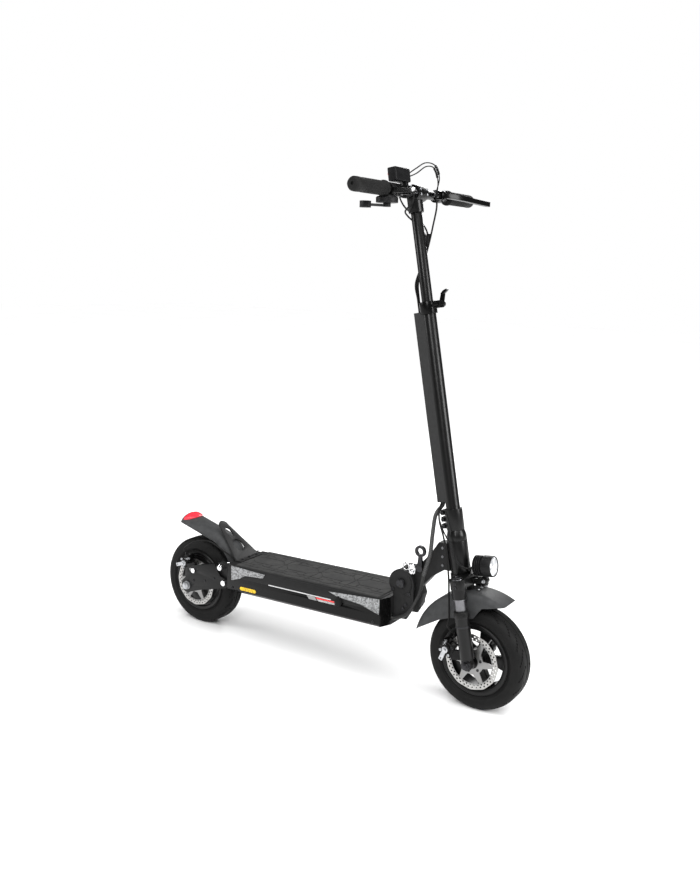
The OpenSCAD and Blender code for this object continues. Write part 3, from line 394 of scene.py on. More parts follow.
@dataclass(frozen=True)
class Rotor:
    """Ground brake disc: rings of fine scratches round the wheel's axis, a darker rubbed band."""
    name: str
    hub: tuple[float, float]
    band: float = 0.06

    def build(self) -> bpy.types.Material:
        """Returns: the material."""
        paint = Paint(self.name, Metallic=1.0)
        turned = paint.place(at=(-self.hub[0], 0, -self.hub[1]))
        flat = paint.node("ShaderNodeVectorMath", {"operation": "MULTIPLY"}, turned, (1, 0, 1))
        radius = paint.node("ShaderNodeVectorMath", {"operation": "LENGTH"}, flat, out="Value")
        rings = paint.node("ShaderNodeTexNoise", {"noise_dimensions": "1D"}, W=radius, Scale=2600.0,
                           Detail=3.0)
        haze = paint.noise(0.01, 4)
        worn = paint.curve(radius, self.band - 0.004, self.band)
        tone = paint.blend(worn, grey(0.26), grey(0.45, (1, 0.99, 0.97)))
        tone = paint.blend(paint.curve(haze, 0.4, 0.8) * 0.35, tone, grey(0.3, (1.0, 0.94, 0.86)))
        return paint.set(Base_Color=tone, Roughness=0.24 + rings * 0.2 + haze * 0.08,
                         Normal=paint.bump(rings, 0.00004, 0.6))


@dataclass(frozen=True)
class Lens:
    """Clear or tinted moulded lens with a grid of small prisms."""
    name: str
    colour: tuple[float, float, float]
    cell: float = 0.004
    rough: float = 0.16
    glow: float = 0.0
    clear: float = 0.6

    def build(self) -> bpy.types.Material:
        """Returns: the material."""
        paint = Paint(self.name, IOR=1.49, Coat_Roughness=0.05)
        paint.shader.inputs["Coat Weight"].default_value = self.clear
        cells = paint.node("ShaderNodeTexVoronoi", {"feature": "F1", "distance": "MANHATTAN"},
                           Vector=paint.place((1, 1, 1.3)), Scale=1 / self.cell, Randomness=0.25)
        shade = paint.node("ShaderNodeTexVoronoi", {"feature": "F1", "distance": "MANHATTAN"}, out="Color",
                           Vector=paint.place((1, 1, 1.3)), Scale=1 / self.cell, Randomness=0.25)
        spot = paint.node("ShaderNodeSeparateColor", None, shade)
        dark = tuple(c * 0.4 for c in self.colour) + (1.0,)
        tone = paint.blend(paint.curve(spot, 0.15, 0.75), dark, self.colour + (1.0,))
        paint.shader.inputs["Emission Strength"].default_value = self.glow
        return paint.set(Base_Color=tone, Roughness=self.rough + spot * 0.12, Emission_Color=tone,
                         Normal=paint.bump(cells, 0.0008, 0.9))


@dataclass(frozen=True)
class Glass:
    """Dark or clear polished cover."""
    name: str
    colour: tuple[float, float, float]
    rough: float = 0.06

    def build(self) -> bpy.types.Material:
        """Returns: the material."""
        paint = Paint(self.name, IOR=1.5)
        smear = paint.noise(0.008, 3)
        tone = paint.blend(smear * 0.4, self.colour + (1.0,), tuple(c * 0.7 for c in self.colour) + (1.0,))
        return paint.set(Base_Color=tone, Roughness=self.rough + smear * 0.08, Normal=paint.bump(smear,
                                                                                                 0.00002, 0.3))


@dataclass(frozen=True)
class Braid:
    """Spiral sleeve round a cable bundle: turns that follow the piece's own length, with painted shade in the grooves
    and a painted highlight on the ridges.
    """
    name: str
    base: float
    turns: float

    def build(self) -> bpy.types.Material:
        """Returns: the material."""
        paint = Paint(self.name)
        uv = paint.node("ShaderNodeTexCoord", out="UV")
        parts = paint.node("ShaderNodeSeparateXYZ", None, uv)
        across = paint.node("ShaderNodeSeparateXYZ", None, uv, out="Y")
        wave = (parts * self.turns + across).call("FRACT")
        ridge = paint.curve((wave - 0.5).call("ABSOLUTE"), 0.1, 0.4)
        haze = paint.noise(0.01, 3)
        # Painted shade and highlight: the colour is darker in the grooves between turns and paler on their ridges.
        tone = paint.blend(ridge, grey(self.base * 0.4), grey(self.base * 1.4))
        return paint.set(Base_Color=tone, Roughness=0.5 + haze * 0.12, Normal=paint.bump(ridge, 0.0007,
                                                                                         0.8))


class Finish(Enum):
    """Every finish of the scooter, each with the maker of its material."""
    SATIN = Coat("satin_black", 0.004, 0.3, clear=0.06, shine=0.22)
    POWDER = Coat("powder_dark", 0.013, 0.5, shine=0.18, peel=0.0009, depth=0.00008, edge=0.02)
    DUCT = Coat("duct_dark", 0.026, 0.6, peel=0.0009, depth=0.00006, edge=0.02)
    GLOSS = Coat("gloss_black", 0.003, 0.18, clear=0.06, shine=0.14, depth=0.00003)
    FENDER = Moulded("fender_grey", (0.04, 0.041, 0.042), 0.5, grain=0.0007)
    PLASTIC = Moulded("black_plastic", (0.006, 0.006, 0.0065), 0.42)
    TYRE = Rubber("tyre_rubber", 0.008, 0.6, edge=0.012)
    MAT = Rubber("mat_rubber", 0.038, 0.7, pores=0.0012, edge=0.012)
    GRIP = Rubber("grip_rubber", 0.012, 0.6)
    HOSE = Rubber("hose_rubber", 0.009, 0.42, pores=0.0006)
    SLEEVE = Braid("harness_sleeve", 0.04, 60.0)
    PIPE = Rubber("grey_sleeve", 0.03, 0.4, pores=0.0006)
    ZINC = Steel("zinc_steel", (0.55, 0.56, 0.58), 0.26)
    CHROME = Steel("chrome_steel", (0.82, 0.82, 0.83), 0.12, stain=0.12)
    GREY_STEEL = Steel("ground_tube", (0.2, 0.2, 0.21), 0.3)
    DARK_STEEL = Steel("black_oxide", (0.05, 0.05, 0.053), 0.34)
    FRONT_ROTOR = Rotor("front_disc", (FRONT_HUB.x, FRONT_HUB.z))
    REAR_ROTOR = Rotor("rear_disc", (REAR_HUB.x, REAR_HUB.z))
    CLEAR = Lens("clear_prisms", (0.3, 0.305, 0.31), clear=0.2)
    RED = Lens("red_lens", (0.6, 0.004, 0.008), cell=0.006, rough=0.3, glow=0.2, clear=0.1)
    RED_PLASTIC = Moulded("red_plastic", (0.5, 0.02, 0.02), 0.3)
    # The reflector's glow is painted light: a reflector gives out no light of its own.
    YELLOW = Lens("yellow_reflector", (0.95, 0.6, 0.01), cell=0.003, rough=0.4, glow=0.12, clear=0.1)
    LAMP_GLASS = Lens("lamp_glass", (0.8, 0.82, 0.85), cell=0.009, rough=0.06)
    SCREEN = Glass("screen_glass", (0.008, 0.008, 0.01))
    WHITE_INK = Moulded("white_ink", (0.62, 0.62, 0.62), 0.42)
    GREY_INK = Moulded("grey_ink", (0.3, 0.3, 0.3), 0.45)
    WRAP = Moulded("battery_wrap", (0.04, 0.1, 0.28), 0.3)

    def get(self) -> bpy.types.Material:
        """Returns: the material, made once."""
        found = bpy.data.materials.get(self.value.name)
        return found or self.value.build()


# ---------------------------------------------------------------- modelling

def deselect() -> None:
    """Leaves nothing selected and no active object in edit mode."""
    if bpy.context.object and bpy.context.object.mode != "OBJECT":
        bpy.ops.object.mode_set(mode="OBJECT")
    bpy.ops.object.select_all(action="DESELECT")


def pick(piece: bpy.types.Object) -> bpy.types.Object:
    """Args: piece: becomes the only selected object and the active one. Returns: it."""
    deselect()
    piece.select_set(True)
    bpy.context.view_layer.objects.active = piece
    return piece


def edit(piece: bpy.types.Object, chosen: Callable[[Face], bool] | None = None) -> bool:
    """Opens edit mode with some faces selected.

    Args:
        piece: the mesh object.
        chosen: says which faces are selected; None selects all.

    Returns:
        Whether any face is selected.
    """
    pick(piece)
    bpy.ops.object.mode_set(mode="EDIT")
    bpy.ops.mesh.select_mode(type="FACE")
    bpy.ops.mesh.select_all(action="SELECT" if chosen is None else "DESELECT")
    if chosen is None:
        return True
    mesh = bmesh.from_edit_mesh(piece.data)
    mesh.normal_update()
    hits = 0
    for face in mesh.faces:
        if chosen(face):
            face.select_set(True)
            hits += 1
    mesh.select_flush_mode()
    bmesh.update_edit_mesh(piece.data)
    return hits > 0


def close_edit() -> None:
    """Leaves edit mode."""
    bpy.ops.object.mode_set(mode="OBJECT")


def settle(piece: bpy.types.Object, move: Matrix | None = None, smooth: float = 35.0) -> bpy.types.Object:
    """Applies a piece's place to its mesh, turns its faces out and smooths it.

    Args:
        piece: the piece.
        move: matrix that takes it to its place.
        smooth: angle under which edges are shaded smooth, in degrees.

    Returns:
        The piece, at the origin and unturned.
    """
    pick(piece)
    bpy.ops.object.transform_apply(location=True, rotation=True, scale=True)
    if move is not None:
        piece.data.transform(move)
    edit(piece)
    bpy.ops.mesh.remove_doubles(threshold=1e-6)
    bpy.ops.mesh.normals_make_consistent(inside=False)
    close_edit()
    bpy.ops.object.shade_smooth_by_angle(angle=math.radians(smooth))
    return piece


def modify(piece: bpy.types.Object, kind: str, **values: object) -> bpy.types.Object:
    """Args: piece: what is changed. kind: the modifier. values: its settings. Returns: the piece."""
    pick(piece)
    modifier = piece.modifiers.new(kind.lower(), kind)
    for key, value in values.items():
        setattr(modifier, key, value)
    bpy.ops.object.modifier_apply(modifier=modifier.name)
    return piece


def bevel(piece: bpy.types.Object, width: float, segments: int = 2,
          angle: float = 30.0) -> bpy.types.Object:
    """Args: piece, width in mm, segments, angle in degrees. Returns: the piece, its edges rounded."""
    return modify(piece, "BEVEL", width=width * MM, segments=segments, limit_method="ANGLE",
                  angle_limit=math.radians(angle), use_clamp_overlap=True)


def loop_outline(name: str, points: Sequence[Point], fill: str = "NGON") -> bpy.types.Object:
    """Args: name, points: places in metres, fill: NGON or NOTHING. Returns: one polygon through them."""
    deselect()
    bpy.ops.mesh.primitive_circle_add(vertices=len(points), radius=1.0, fill_type=fill)
    piece = bpy.context.object
    piece.name = name
    piece.data.name = name
    for vertex, place in zip(piece.data.vertices, points):
        vertex.co = Vector(place)
    return piece


def lathe(name: str, profile: Sequence[tuple[float, float]], hub: Vector, steps: int = 96,
          axis: str = "Y") -> bpy.types.Object:
    """Turns a closed outline about an axis through a hub.

    Args:
        name: the piece's name.
        profile: (radius, place along the axis) in mm, in order round the outline.
        hub: a point of the axis, in metres.
        steps: divisions of the full turn.
        axis: Y or Z.

    Returns:
        The closed solid.
    """
    if axis == "Y":
        points = [(r * MM, s * MM, 0.0) for r, s in profile]
        way = (0, 1, 0)
    else:
        points = [(r * MM, 0.0, s * MM) for r, s in profile]
        way = (0, 0, 1)
    piece = loop_outline(name, points, "NOTHING")
    pick(piece)
    bpy.ops.object.mode_set(mode="EDIT")
    bpy.ops.mesh.select_all(action="SELECT")
    bpy.ops.mesh.spin(steps=steps, angle=2 * math.pi, center=(0, 0, 0), axis=way)
    bpy.ops.mesh.select_all(action="SELECT")
    bpy.ops.mesh.remove_doubles(threshold=2e-6)
    bpy.ops.mesh.normals_make_consistent(inside=False)
    close_edit()
    piece.data.transform(Matrix.Translation(hub))
    return piece


def prism(name: str, outline: Sequence[tuple[float, float]], low: float, high: float, plane: str = "XZ",
          move: Matrix | None = None) -> bpy.types.Object:
    """Extrudes an outline.

    Args:
        name: the piece's name.
        outline: points in mm, in the plane.
        low, high: its two faces along the third axis, in mm.
        plane: XZ, XY or YZ.
        move: matrix to its place.

    Returns:
        The closed solid.
    """
    lift = {"XZ": lambda a, b: (a, low, b), "XY": lambda a, b: (a, b, low), "YZ": lambda a, b: (low, a,
                                                                                                b)}[plane]
    step = {"XZ": (0, 1, 0), "XY": (0, 0, 1), "YZ": (1, 0, 0)}[plane]
    piece = loop_outline(name, [Vector(lift(a, b)) * MM for a, b in outline])
    edit(piece)
    bpy.ops.mesh.extrude_region_move(TRANSFORM_OT_translate={"value": Vector(step) * (high - low) * MM})
    close_edit()
    return settle(piece, move)


def block(name: str, size: Point, at: Point, move: Matrix | None = None, round_by: float = 1.0,
          segments: int = 2) -> bpy.types.Object:
    """Args: name, size and middle in mm, move: matrix to its place, round_by: bevel in mm, segments.
    Returns: a box with rounded edges."""
    deselect()
    bpy.ops.mesh.primitive_cube_add(size=1.0)
    piece = bpy.context.object
    piece.name = name
    piece.data.name = name
    piece.data.transform(Matrix.Translation(Vector(at) * MM) @ Matrix.Diagonal((*(v * MM for v in size),
                                                                                1)))
    bevel(piece, round_by, segments)
    return settle(piece, move)


def along(way: Vector) -> Matrix:
    """Args: way: a direction. Returns: the turn that takes +Z to it."""
    return way.to_track_quat("Z", "Y").to_matrix().to_4x4()


class Head(Enum):
    """Kinds of fastener head."""
    SOCKET = "socket"
    HEX = "hex"
    DOME = "dome"


def fastener(name: str, at: Vector, way: Vector, radius: float, height: float, head: Head = Head.SOCKET,
             washer: bool = False) -> bpy.types.Object:
    """Models a screw or nut head.

    Args:
        name: the piece's name.
        at: the middle of its seat, in metres.
        way: the direction it faces.
        radius: head radius in mm.
        height: head height in mm.
        head: its kind.
        washer: whether a washer lies under it.

    Returns:
        The piece.
    """
    deselect()
    sides = 6 if head is Head.HEX else 24
    bpy.ops.mesh.primitive_cylinder_add(vertices=sides, radius=radius * MM, depth=height * MM,
                                        location=(0, 0, height * MM / 2))
    piece = bpy.context.object
    piece.name = name
    piece.data.name = name
    top = height * MM
    if head is Head.DOME:
        for ring in range(3):
            edit(piece, lambda f: f.normal.z > 0.9 and len(f.verts) > 4)
            bpy.ops.mesh.inset(thickness=radius * MM * (0.12 + 0.1 * ring),
                               depth=radius * MM * (0.12 - 0.035 * ring))
            close_edit()
    else:
        edit(piece, lambda f: f.normal.z > 0.9)
        bpy.ops.mesh.inset(thickness=radius * MM * 0.14, depth=radius * MM * 0.08)
        bpy.ops.mesh.inset(thickness=radius * MM * (0.3 if head is Head.SOCKET else 0.2), depth=0)
        bpy.ops.mesh.inset(thickness=radius * MM * 0.02,
                           depth=-height * MM * (0.55 if head is Head.SOCKET else 0.2))
        close_edit()
    bevel(piece, min(0.5, radius * 0.09), 2, 40)
    if washer:
        plate = lathe(name + "_washer", [(radius * 0.3, -0.2), (radius * 1.32, -0.2), (radius * 1.32, 1.0),
                                         (radius * 0.3, 1.0)], Vector(), 32, "Z")
        bevel(plate, 0.2, 1, 40)
        join(piece, [plate])
    return settle(piece, Matrix.Translation(at) @ along(way), 40)


def join(piece: bpy.types.Object, others: Iterable[bpy.types.Object], name: str = "") -> bpy.types.Object:
    """Args: piece: keeps its name unless one is given. others: joined to it. Returns: the piece."""
    pick(piece)
    for other in others:
        other.select_set(True)
    bpy.ops.object.join()
    if name:
        piece.name = piece.data.name = name
    return piece


def smooth_path(points: Sequence[Point], share: int = 8) -> list[Vector]:
    """Args: points: places in metres. share: steps in each stretch. Returns: a smooth path through them."""
    path = [Vector(p) for p in points]
    result = []
    for i in range(len(path) - 1):
        a, b, c = path[max(i - 1, 0)], path[i], path[i + 1]
        d = path[min(i + 2, len(path) - 1)]
        for k in range(share):
            t = k / share
            result.append(0.5 * (2 * b + (c - a) * t + (2 * a - 5 * b + 4 * c - d) * t * t
                                 + (3 * b - a - 3 * c + d) * t ** 3))
    return result + [path[-1]]


def cable(name: str, points: Sequence[Point], radius: float, sides: int = 12,
          share: int = 8) -> bpy.types.Object:
    """Sweeps a round lead along a path, with a UV map that runs along it.

    Args:
        name: the piece's name.
        points: places in metres.
        radius: in mm.
        sides: of its section.
        share: steps in each stretch.

    Returns:
        The closed mesh.
    """
    path = smooth_path(points, share)
    spine = bpy.data.curves.new(name, "CURVE")
    spine.dimensions = "3D"
    spine.bevel_depth = radius * MM
    spine.bevel_resolution = max(1, sides // 4 - 1)
    spine.use_fill_caps = True
    line = spine.splines.new("POLY")
    line.points.add(len(path) - 1)
    for point, place in zip(line.points, path):
        point.co = (*place, 1)
    piece = bpy.data.objects.new(name, spine)
    bpy.context.scene.collection.objects.link(piece)
    pick(piece)
    bpy.ops.object.convert(target="MESH")
    piece = bpy.context.object
    piece.data.name = name
    return settle(piece, None, 60)


def coil(name: str, start: Vector, way: Vector, length: float, radius: float, wire: float,
         turns: float) -> bpy.types.Object:
    """Models a coil spring whose end turns lie closer.

    Args:
        name: the piece's name.
        start: middle of its first turn, in metres.
        way: its direction.
        length, radius, wire: in mm.
        turns: number of turns.

    Returns:
        The closed mesh.
    """
    turn = Matrix.Translation(start) @ along(way)
    steps = int(turns * 20)
    points = []
    for i in range(steps + 1):
        share = i / steps
        lift = share + 0.35 / turns * math.sin(2 * math.pi * share) * -0.5
        angle = 2 * math.pi * turns * share
        spot = Vector((radius * math.cos(angle), radius * math.sin(angle), length * lift))
        points.append(turn @ (spot * MM))
    return cable(name, points, wire, 8, 1)


def ring_of(count: int, radius: float, start: float = 0.0) -> list[tuple[float, float]]:
    """Args: count, radius in mm, start angle in degrees. Returns: places round a circle."""
    return [(radius * math.cos(math.radians(start) + 2 * math.pi * i / count),
             radius * math.sin(math.radians(start) + 2 * math.pi * i / count)) for i in range(count)]


def refined(node: str, width: float = 0.8, segments: int = 2, angle: float = 28.0,
            name: str | None = None) -> bpy.types.Object:
    """Makes a copy of a CAD node with its edges rounded and its curves smooth.

    Args:
        node: the CAD node.
        width: bevel in mm.
        segments: of the bevel.
        angle: edges sharper than this are rounded, in degrees.
        name: the piece's name.

    Returns:
        The copy, with its own mesh.
    """
    source = frame["nodes"][node]
    piece = bpy.data.objects.new(name or node + "_body", source.data.copy())
    bpy.context.scene.collection.objects.link(piece)
    piece.data.name = piece.name
    edit(piece)
    bpy.ops.mesh.customdata_custom_splitnormals_clear()
    bpy.ops.mesh.remove_doubles(threshold=4e-6)
    bpy.ops.mesh.normals_make_consistent(inside=False)
    bpy.ops.mesh.dissolve_limited(angle_limit=math.radians(0.6))
    close_edit()
    if width > 0:
        bevel(piece, width, segments, angle)
    pick(piece)
    bpy.ops.object.shade_smooth_by_angle(angle=math.radians(32))
    return piece


def paint_faces(piece: bpy.types.Object, finish: Finish, chosen: Callable[[Vector, Vector], bool]) -> None:
    """Gives some faces a second finish.

    Args:
        piece: the piece, with its first finish on.
        finish: the second finish.
        chosen: says from a face's middle and normal, in metres, whether it takes it.
    """
    piece.data.materials.append(finish.get())
    index = len(piece.data.materials) - 1
    for face in piece.data.polygons:
        if chosen(face.center, face.normal):
            face.material_index = index


# ---------------------------------------------------------------- sub-assemblies

@dataclass
class SubAssembly:
    """A group of pieces that ride on CAD bodies."""
    made: list[str] = field(default_factory=list)

    def dress(self, piece: bpy.types.Object, finish: Finish, body: str, slot: str,
              *replaced: str) -> bpy.types.Object:
        """Finishes a piece and hands it to the frame.

        Args:
            piece: the piece, in place.
            finish: its finish.
            body: the CAD body it rides on.
            slot: the record's material slot; not used.
            replaced: CAD nodes that it stands for.

        Returns:
            The piece.
        """
        if not piece.data.materials:
            piece.data.materials.append(finish.get())
        else:
            piece.data.materials[0] = finish.get()
        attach(piece, body)
        if replaced:
            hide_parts(*replaced)
        self.made.append(piece.name)
        return piece

    def finish_node(self, node: str, finish: Finish) -> None:
        """Args: node: a CAD node that stays. finish: what its surface becomes."""
        data = frame["nodes"][node].data
        data.materials.clear()
        data.materials.append(finish.get())

    def swap(self, node: str, finish: Finish, width: float = 0.8, segments: int = 2,
             angle: float = 28.0) -> bpy.types.Object:
        """Replaces a CAD node by its copy with rounded edges.

        Args:
            node: the CAD node.
            finish: the finish.
            width: bevel in mm.
            segments: of the bevel.
            angle: edges sharper than this are rounded.

        Returns:
            The copy.
        """
        body = frame["nodes"][node]["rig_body"]
        slot = next(p["material_slot"] for p in frame["record"]["subparts"] if p["node"] == node)
        return self.dress(refined(node, width, segments, angle), finish, body, slot, node)

    def disc(self, node: str, finish: Finish, body: str, hub: Vector, middle: float = -42.0,
             outer: float = 69.6, thick: float = 2.0) -> None:
        """Brake disc: a scalloped ring with two rows of holes, on six swept carriers.

        Args:
            node: the CAD node that it stands for.
            finish: its finish.
            body: the body it rides on.
            hub: a point of its axis, in metres.
            middle: its middle plane along the axis, in mm.
            outer: its radius in mm.
            thick: its thickness in mm.
        """
        def circle(radius: float, a: float = 0.0, b: float = 0.0, count: int = 10) -> list[tuple[float,
                                                                                                 float]]:
            """Places round a circle about (a, b)."""
            return [(a + x, b + y) for x, y in ring_of(count, radius)]
        edge = []
        for i in range(144):
            t = math.tau * i / 144
            radius = outer - 1.3 * (0.5 - 0.5 * math.cos(12 * t))
            edge.append((radius * math.cos(t), radius * math.sin(t)))
        outlines = [edge, circle(17.2, count=48)]
        for i in range(6):
            start = 60.0 * i
            rim = [(54.6, start + 6 + 5 * k) for k in range(11)]
            foot = [(31.5, start + 41 - 4.4 * k) for k in range(7)]
            outlines.append([(r * math.cos(math.radians(t)), r * math.sin(math.radians(t))) for r,
                             t in rim + foot])
        for row, shift in ((58.2, 0.0), (64.0, 5.0)):
            outlines += [circle(2.3, a, b) for a, b in ring_of(36, row, shift)]
        shape = bpy.data.curves.new(node, "CURVE")
        shape.dimensions, shape.fill_mode, shape.extrude = "2D", "BOTH", thick / 2 * MM
        for outline in outlines:
            line = shape.splines.new("POLY")
            line.points.add(len(outline) - 1)
            line.use_cyclic_u = True
            for point, (a, b) in zip(line.points, outline):
                point.co = (a * MM, b * MM, 0, 1)
        piece = bpy.data.objects.new(node + "_drilled", shape)
        bpy.context.scene.collection.objects.link(piece)
        pick(piece)
        bpy.ops.object.convert(target="MESH")
        piece = bpy.context.object
        piece.data.name = piece.name
        place = Matrix.Translation(hub + Vector((0, middle * MM, 0))) @ Matrix.Rotation(math.pi / 2, 4, "X")
        self.dress(settle(piece, place, 30), finish, body, "steel", node)

    def screw(self, name: str, at: Vector, way: Vector, radius: float, height: float, body: str,
              head: Head = Head.SOCKET, finish: Finish = Finish.DARK_STEEL, washer: bool = False) -> None:
        """Args: as fastener(), and body: what it rides on, finish: its finish."""
        slot = "steel" if finish in (Finish.ZINC, Finish.CHROME, Finish.GREY_STEEL) else "alloy_dark"
        self.dress(fastener(name, at, way, radius, height, head, washer), finish, body, slot)

    def build(self) -> None:
        """Builds the sub-assembly's pieces."""
        raise NotImplementedError


RIGHT = Vector((0, -1, 0))
LEFT = Vector((0, 1, 0))


@dataclass
class Deck(SubAssembly):
    """Deck extrusion, mat, side strips, foot rest, rear fender and prop stand. Sizes in mm."""
    half: float = 83.0
    top_in: float = 6.0
    top_z: float = -7.0
    slope_drop: float = 41.0
    mat_front: float = 250.0
    mat_rear: float = -228.0
    mat_half: float = 75.5
    mat_base: float = -1.4
    groove: float = 2.2
    cells: int = 4

    def side(self, x: float, drop: float, out: float, side: int = -1) -> Vector:
        """Args: x: along the deck. drop: below the top edge. out: off the surface. side: -1 is right.
        Returns: the place on the leaning upper side, in metres."""
        lean = math.atan2(self.top_in, self.slope_drop)
        y = self.half - self.top_in + drop * math.sin(lean) + out * math.cos(lean)
        return DECK.at(x, side * y, self.top_z - drop * math.cos(lean) + out * math.sin(lean))

    def decal(self, name: str, corners: Sequence[tuple[float, float]], finish: Finish, thick: float = 0.35,
              side: int = -1) -> None:
        """Args: name, corners as (x, drop) on the upper side, finish, thick: mm it stands proud, side."""
        low = [self.side(x, drop, 0.04, side) for x, drop in corners]
        piece = loop_outline(name, low)
        edit(piece)
        push = (self.side(0, 10, thick, side) - self.side(0, 10, 0, side))
        bpy.ops.mesh.extrude_region_move(TRANSFORM_OT_translate={"value": push})
        close_edit()
        self.dress(settle(piece), finish, "deck", "clear_strip")

    def shell(self) -> None:
        """Extrusion, lid, port and closed-off inner parts."""
        body = self.swap("deck_shell", Finish.POWDER, 1.0)
        line = self.top_z - 29.0

        def is_cover(place: Vector, normal: Vector) -> bool:
            """Whether a face belongs to the gloss lower side."""
            spot = DECK.turn.inverted() @ (place - DECK.origin)
            return abs(spot.y) > (self.half - self.top_in) * MM and spot.z < line * MM
        edit(body)
        bpy.ops.mesh.bisect(plane_co=DECK.at(0, 0, line), plane_no=DECK.way(0, 0, 1))
        close_edit()
        paint_faces(body, Finish.GLOSS, is_cover)
        self.swap("deck_lid", Finish.POWDER, 0.5)
        for node, finish in (("charge_port", Finish.PLASTIC), ("charge_cap", Finish.HOSE)):
            self.swap(node, finish, 0.5)
        for node, finish in (("battery_pack", Finish.WRAP), ("controller", Finish.ZINC)):
            self.finish_node(node, finish)

    def mat(self) -> None:
        """Rubber mat: a base sheet with raised pads between angular grooves."""
        base = block("mat_sheet", (self.mat_front - self.mat_rear, 2 * self.mat_half, 1.5),
                     ((self.mat_front + self.mat_rear) / 2, 0, -2.15), DECK.matrix, 0.3, 1)
        pitch = (self.mat_front - self.mat_rear) / self.cells
        gap = self.groove
        pads = []
        for i in range(self.cells):
            x0 = self.mat_rear + i * pitch + gap / 2
            x1 = x0 + pitch - gap
            mid = (x0 + x1) / 2
            nose = pitch * 0.22
            hexagon = [(x0 + nose, -24), (x1 - nose, -24), (x1 - 4, 0), (x1 - nose, 24), (x0 + nose, 24),
                       (x0 + 4, 0)]
            pads.append(hexagon)
            for s in (-1, 1):
                pads.append([(x0 + 4, 2 * s), (x0 + nose - 1.5, 26 * s), (x0 + nose - 1.5, 44 * s), (x0,
                                                                                                     44 * s),
                             (x0, 2 * s)])
                pads.append([(x1 - 4, 2 * s), (x1, 2 * s), (x1, 44 * s), (x1 - nose + 1.5, 44 * s),
                             (x1 - nose + 1.5, 26 * s)])
                pads.append([(x0 + nose + 1, 26.5 * s), (x1 - nose - 1, 26.5 * s), (x1 - nose - 1, 44 * s),
                             (mid + 16, 44 * s), (mid + 9, 36 * s), (mid - 9, 36 * s), (mid - 16, 44 * s),
                             (x0 + nose + 1, 44 * s)])
                pads.append([(x0, 46.5 * s), (mid - 17, 46.5 * s), (mid - 10, 38.5 * s), (mid + 10,
                                                                                          38.5 * s),
                             (mid + 17, 46.5 * s), (x1, 46.5 * s), (x1, 57 * s), (mid + 20, 57 * s),
                             (mid + 12, 62 * s), (mid - 12, 62 * s), (mid - 20, 57 * s), (x0, 57 * s)])
                pads.append([(x0, 59.5 * s), (mid - 21, 59.5 * s), (mid - 13, 64.5 * s), (mid + 13,
                                                                                          64.5 * s),
                             (mid + 21, 59.5 * s), (x1, 59.5 * s), (x1, (self.mat_half - 0.8) * s),
                             (x0, (self.mat_half - 0.8) * s)])
        made = [prism("pad", pad, self.mat_base, -0.1, "XY", DECK.matrix) for pad in pads]
        for pad in made:
            bevel(pad, 0.45, 1, 40)
        mat = join(base, made, "foot_mat")
        self.dress(mat, Finish.MAT, "deck", "mat", "deck_mat")

    def strips(self) -> None:
        """Side lights with their frames, white line, generic panel graphics and reflector."""
        self.swap("side_lights", Finish.CLEAR, 0.4, 1)
        for side, tag in SIDES:
            self.decal(f"side_line_{tag}", [(-105, 27.2), (104, 27.2), (104, 29.6), (-105, 29.6)],
                       Finish.WHITE_INK, 0.3, side)
            self.decal(f"panel_block_{tag}", [(26, 30.6), (52, 30.6), (60, 39.4), (34, 39.4)],
                       Finish.GREY_INK, 0.25,
                       side)
            self.decal(f"panel_band_{tag}", [(55, 30.6), (118, 30.6), (118, 34.6), (58.5, 34.6)],
                       Finish.RED_PLASTIC,
                       0.3, side)
            for row in range(3):
                drop = 35.4 + 1.6 * row
                self.decal(f"panel_bar_{tag}_{row}", [(60 + 2 * row, drop), (118, drop), (118, drop + 0.9),
                                                      (61 + 2 * row,
                                                       drop + 0.9)], Finish.WHITE_INK, 0.25, side)
            ends = [(-177 + math.copysign(24, math.cos(a)) + 5 * math.cos(a), -62.5 + 5 * math.sin(a))
                    for a in (math.radians(15 + 30 * i) for i in range(12))]
            faces = sorted((side * (self.half - 0.3), side * (self.half + 1.4)))
            reflector = prism(f"reflector_{tag}", ends, *faces, "XZ", DECK.matrix)
            bevel(reflector, 0.5, 2, 50)
            self.dress(reflector, Finish.YELLOW, "deck", "clear_strip")
            for x in (-236, 236):
                self.screw(f"side_screw_{tag}_{'rear' if x < 0 else 'front'}",
                           DECK.at(x, side * self.half, -66), Vector((0, side, 0)), 3.2, 1.6, "deck")

    def foot_rest(self) -> None:
        """Foot rest, its screws, the rear fender with its lamp, and the prop stand."""
        self.swap("kick_plate", Finish.POWDER, 1.2, 3)
        for y in (-30, 0, 30):
            self.screw(f"foot_rest_screw_{y + 30}", DECK.at(-240, y, 1.0), DECK.way(0, 0, 1), 4.0, 2.2,
                       "deck")
        self.swap("rear_fender", Finish.FENDER, 0.6, 2, 40)
        self.swap("tail_light", Finish.RED, 0.5, 2, 40)
        self.swap("kickstand", Finish.SATIN, 0.8)
        self.swap("rear_bracket", Finish.POWDER, 0.7)

    def build(self) -> None:
        """Builds the deck."""
        self.shell()
        self.mat()
        self.strips()
        self.foot_rest()


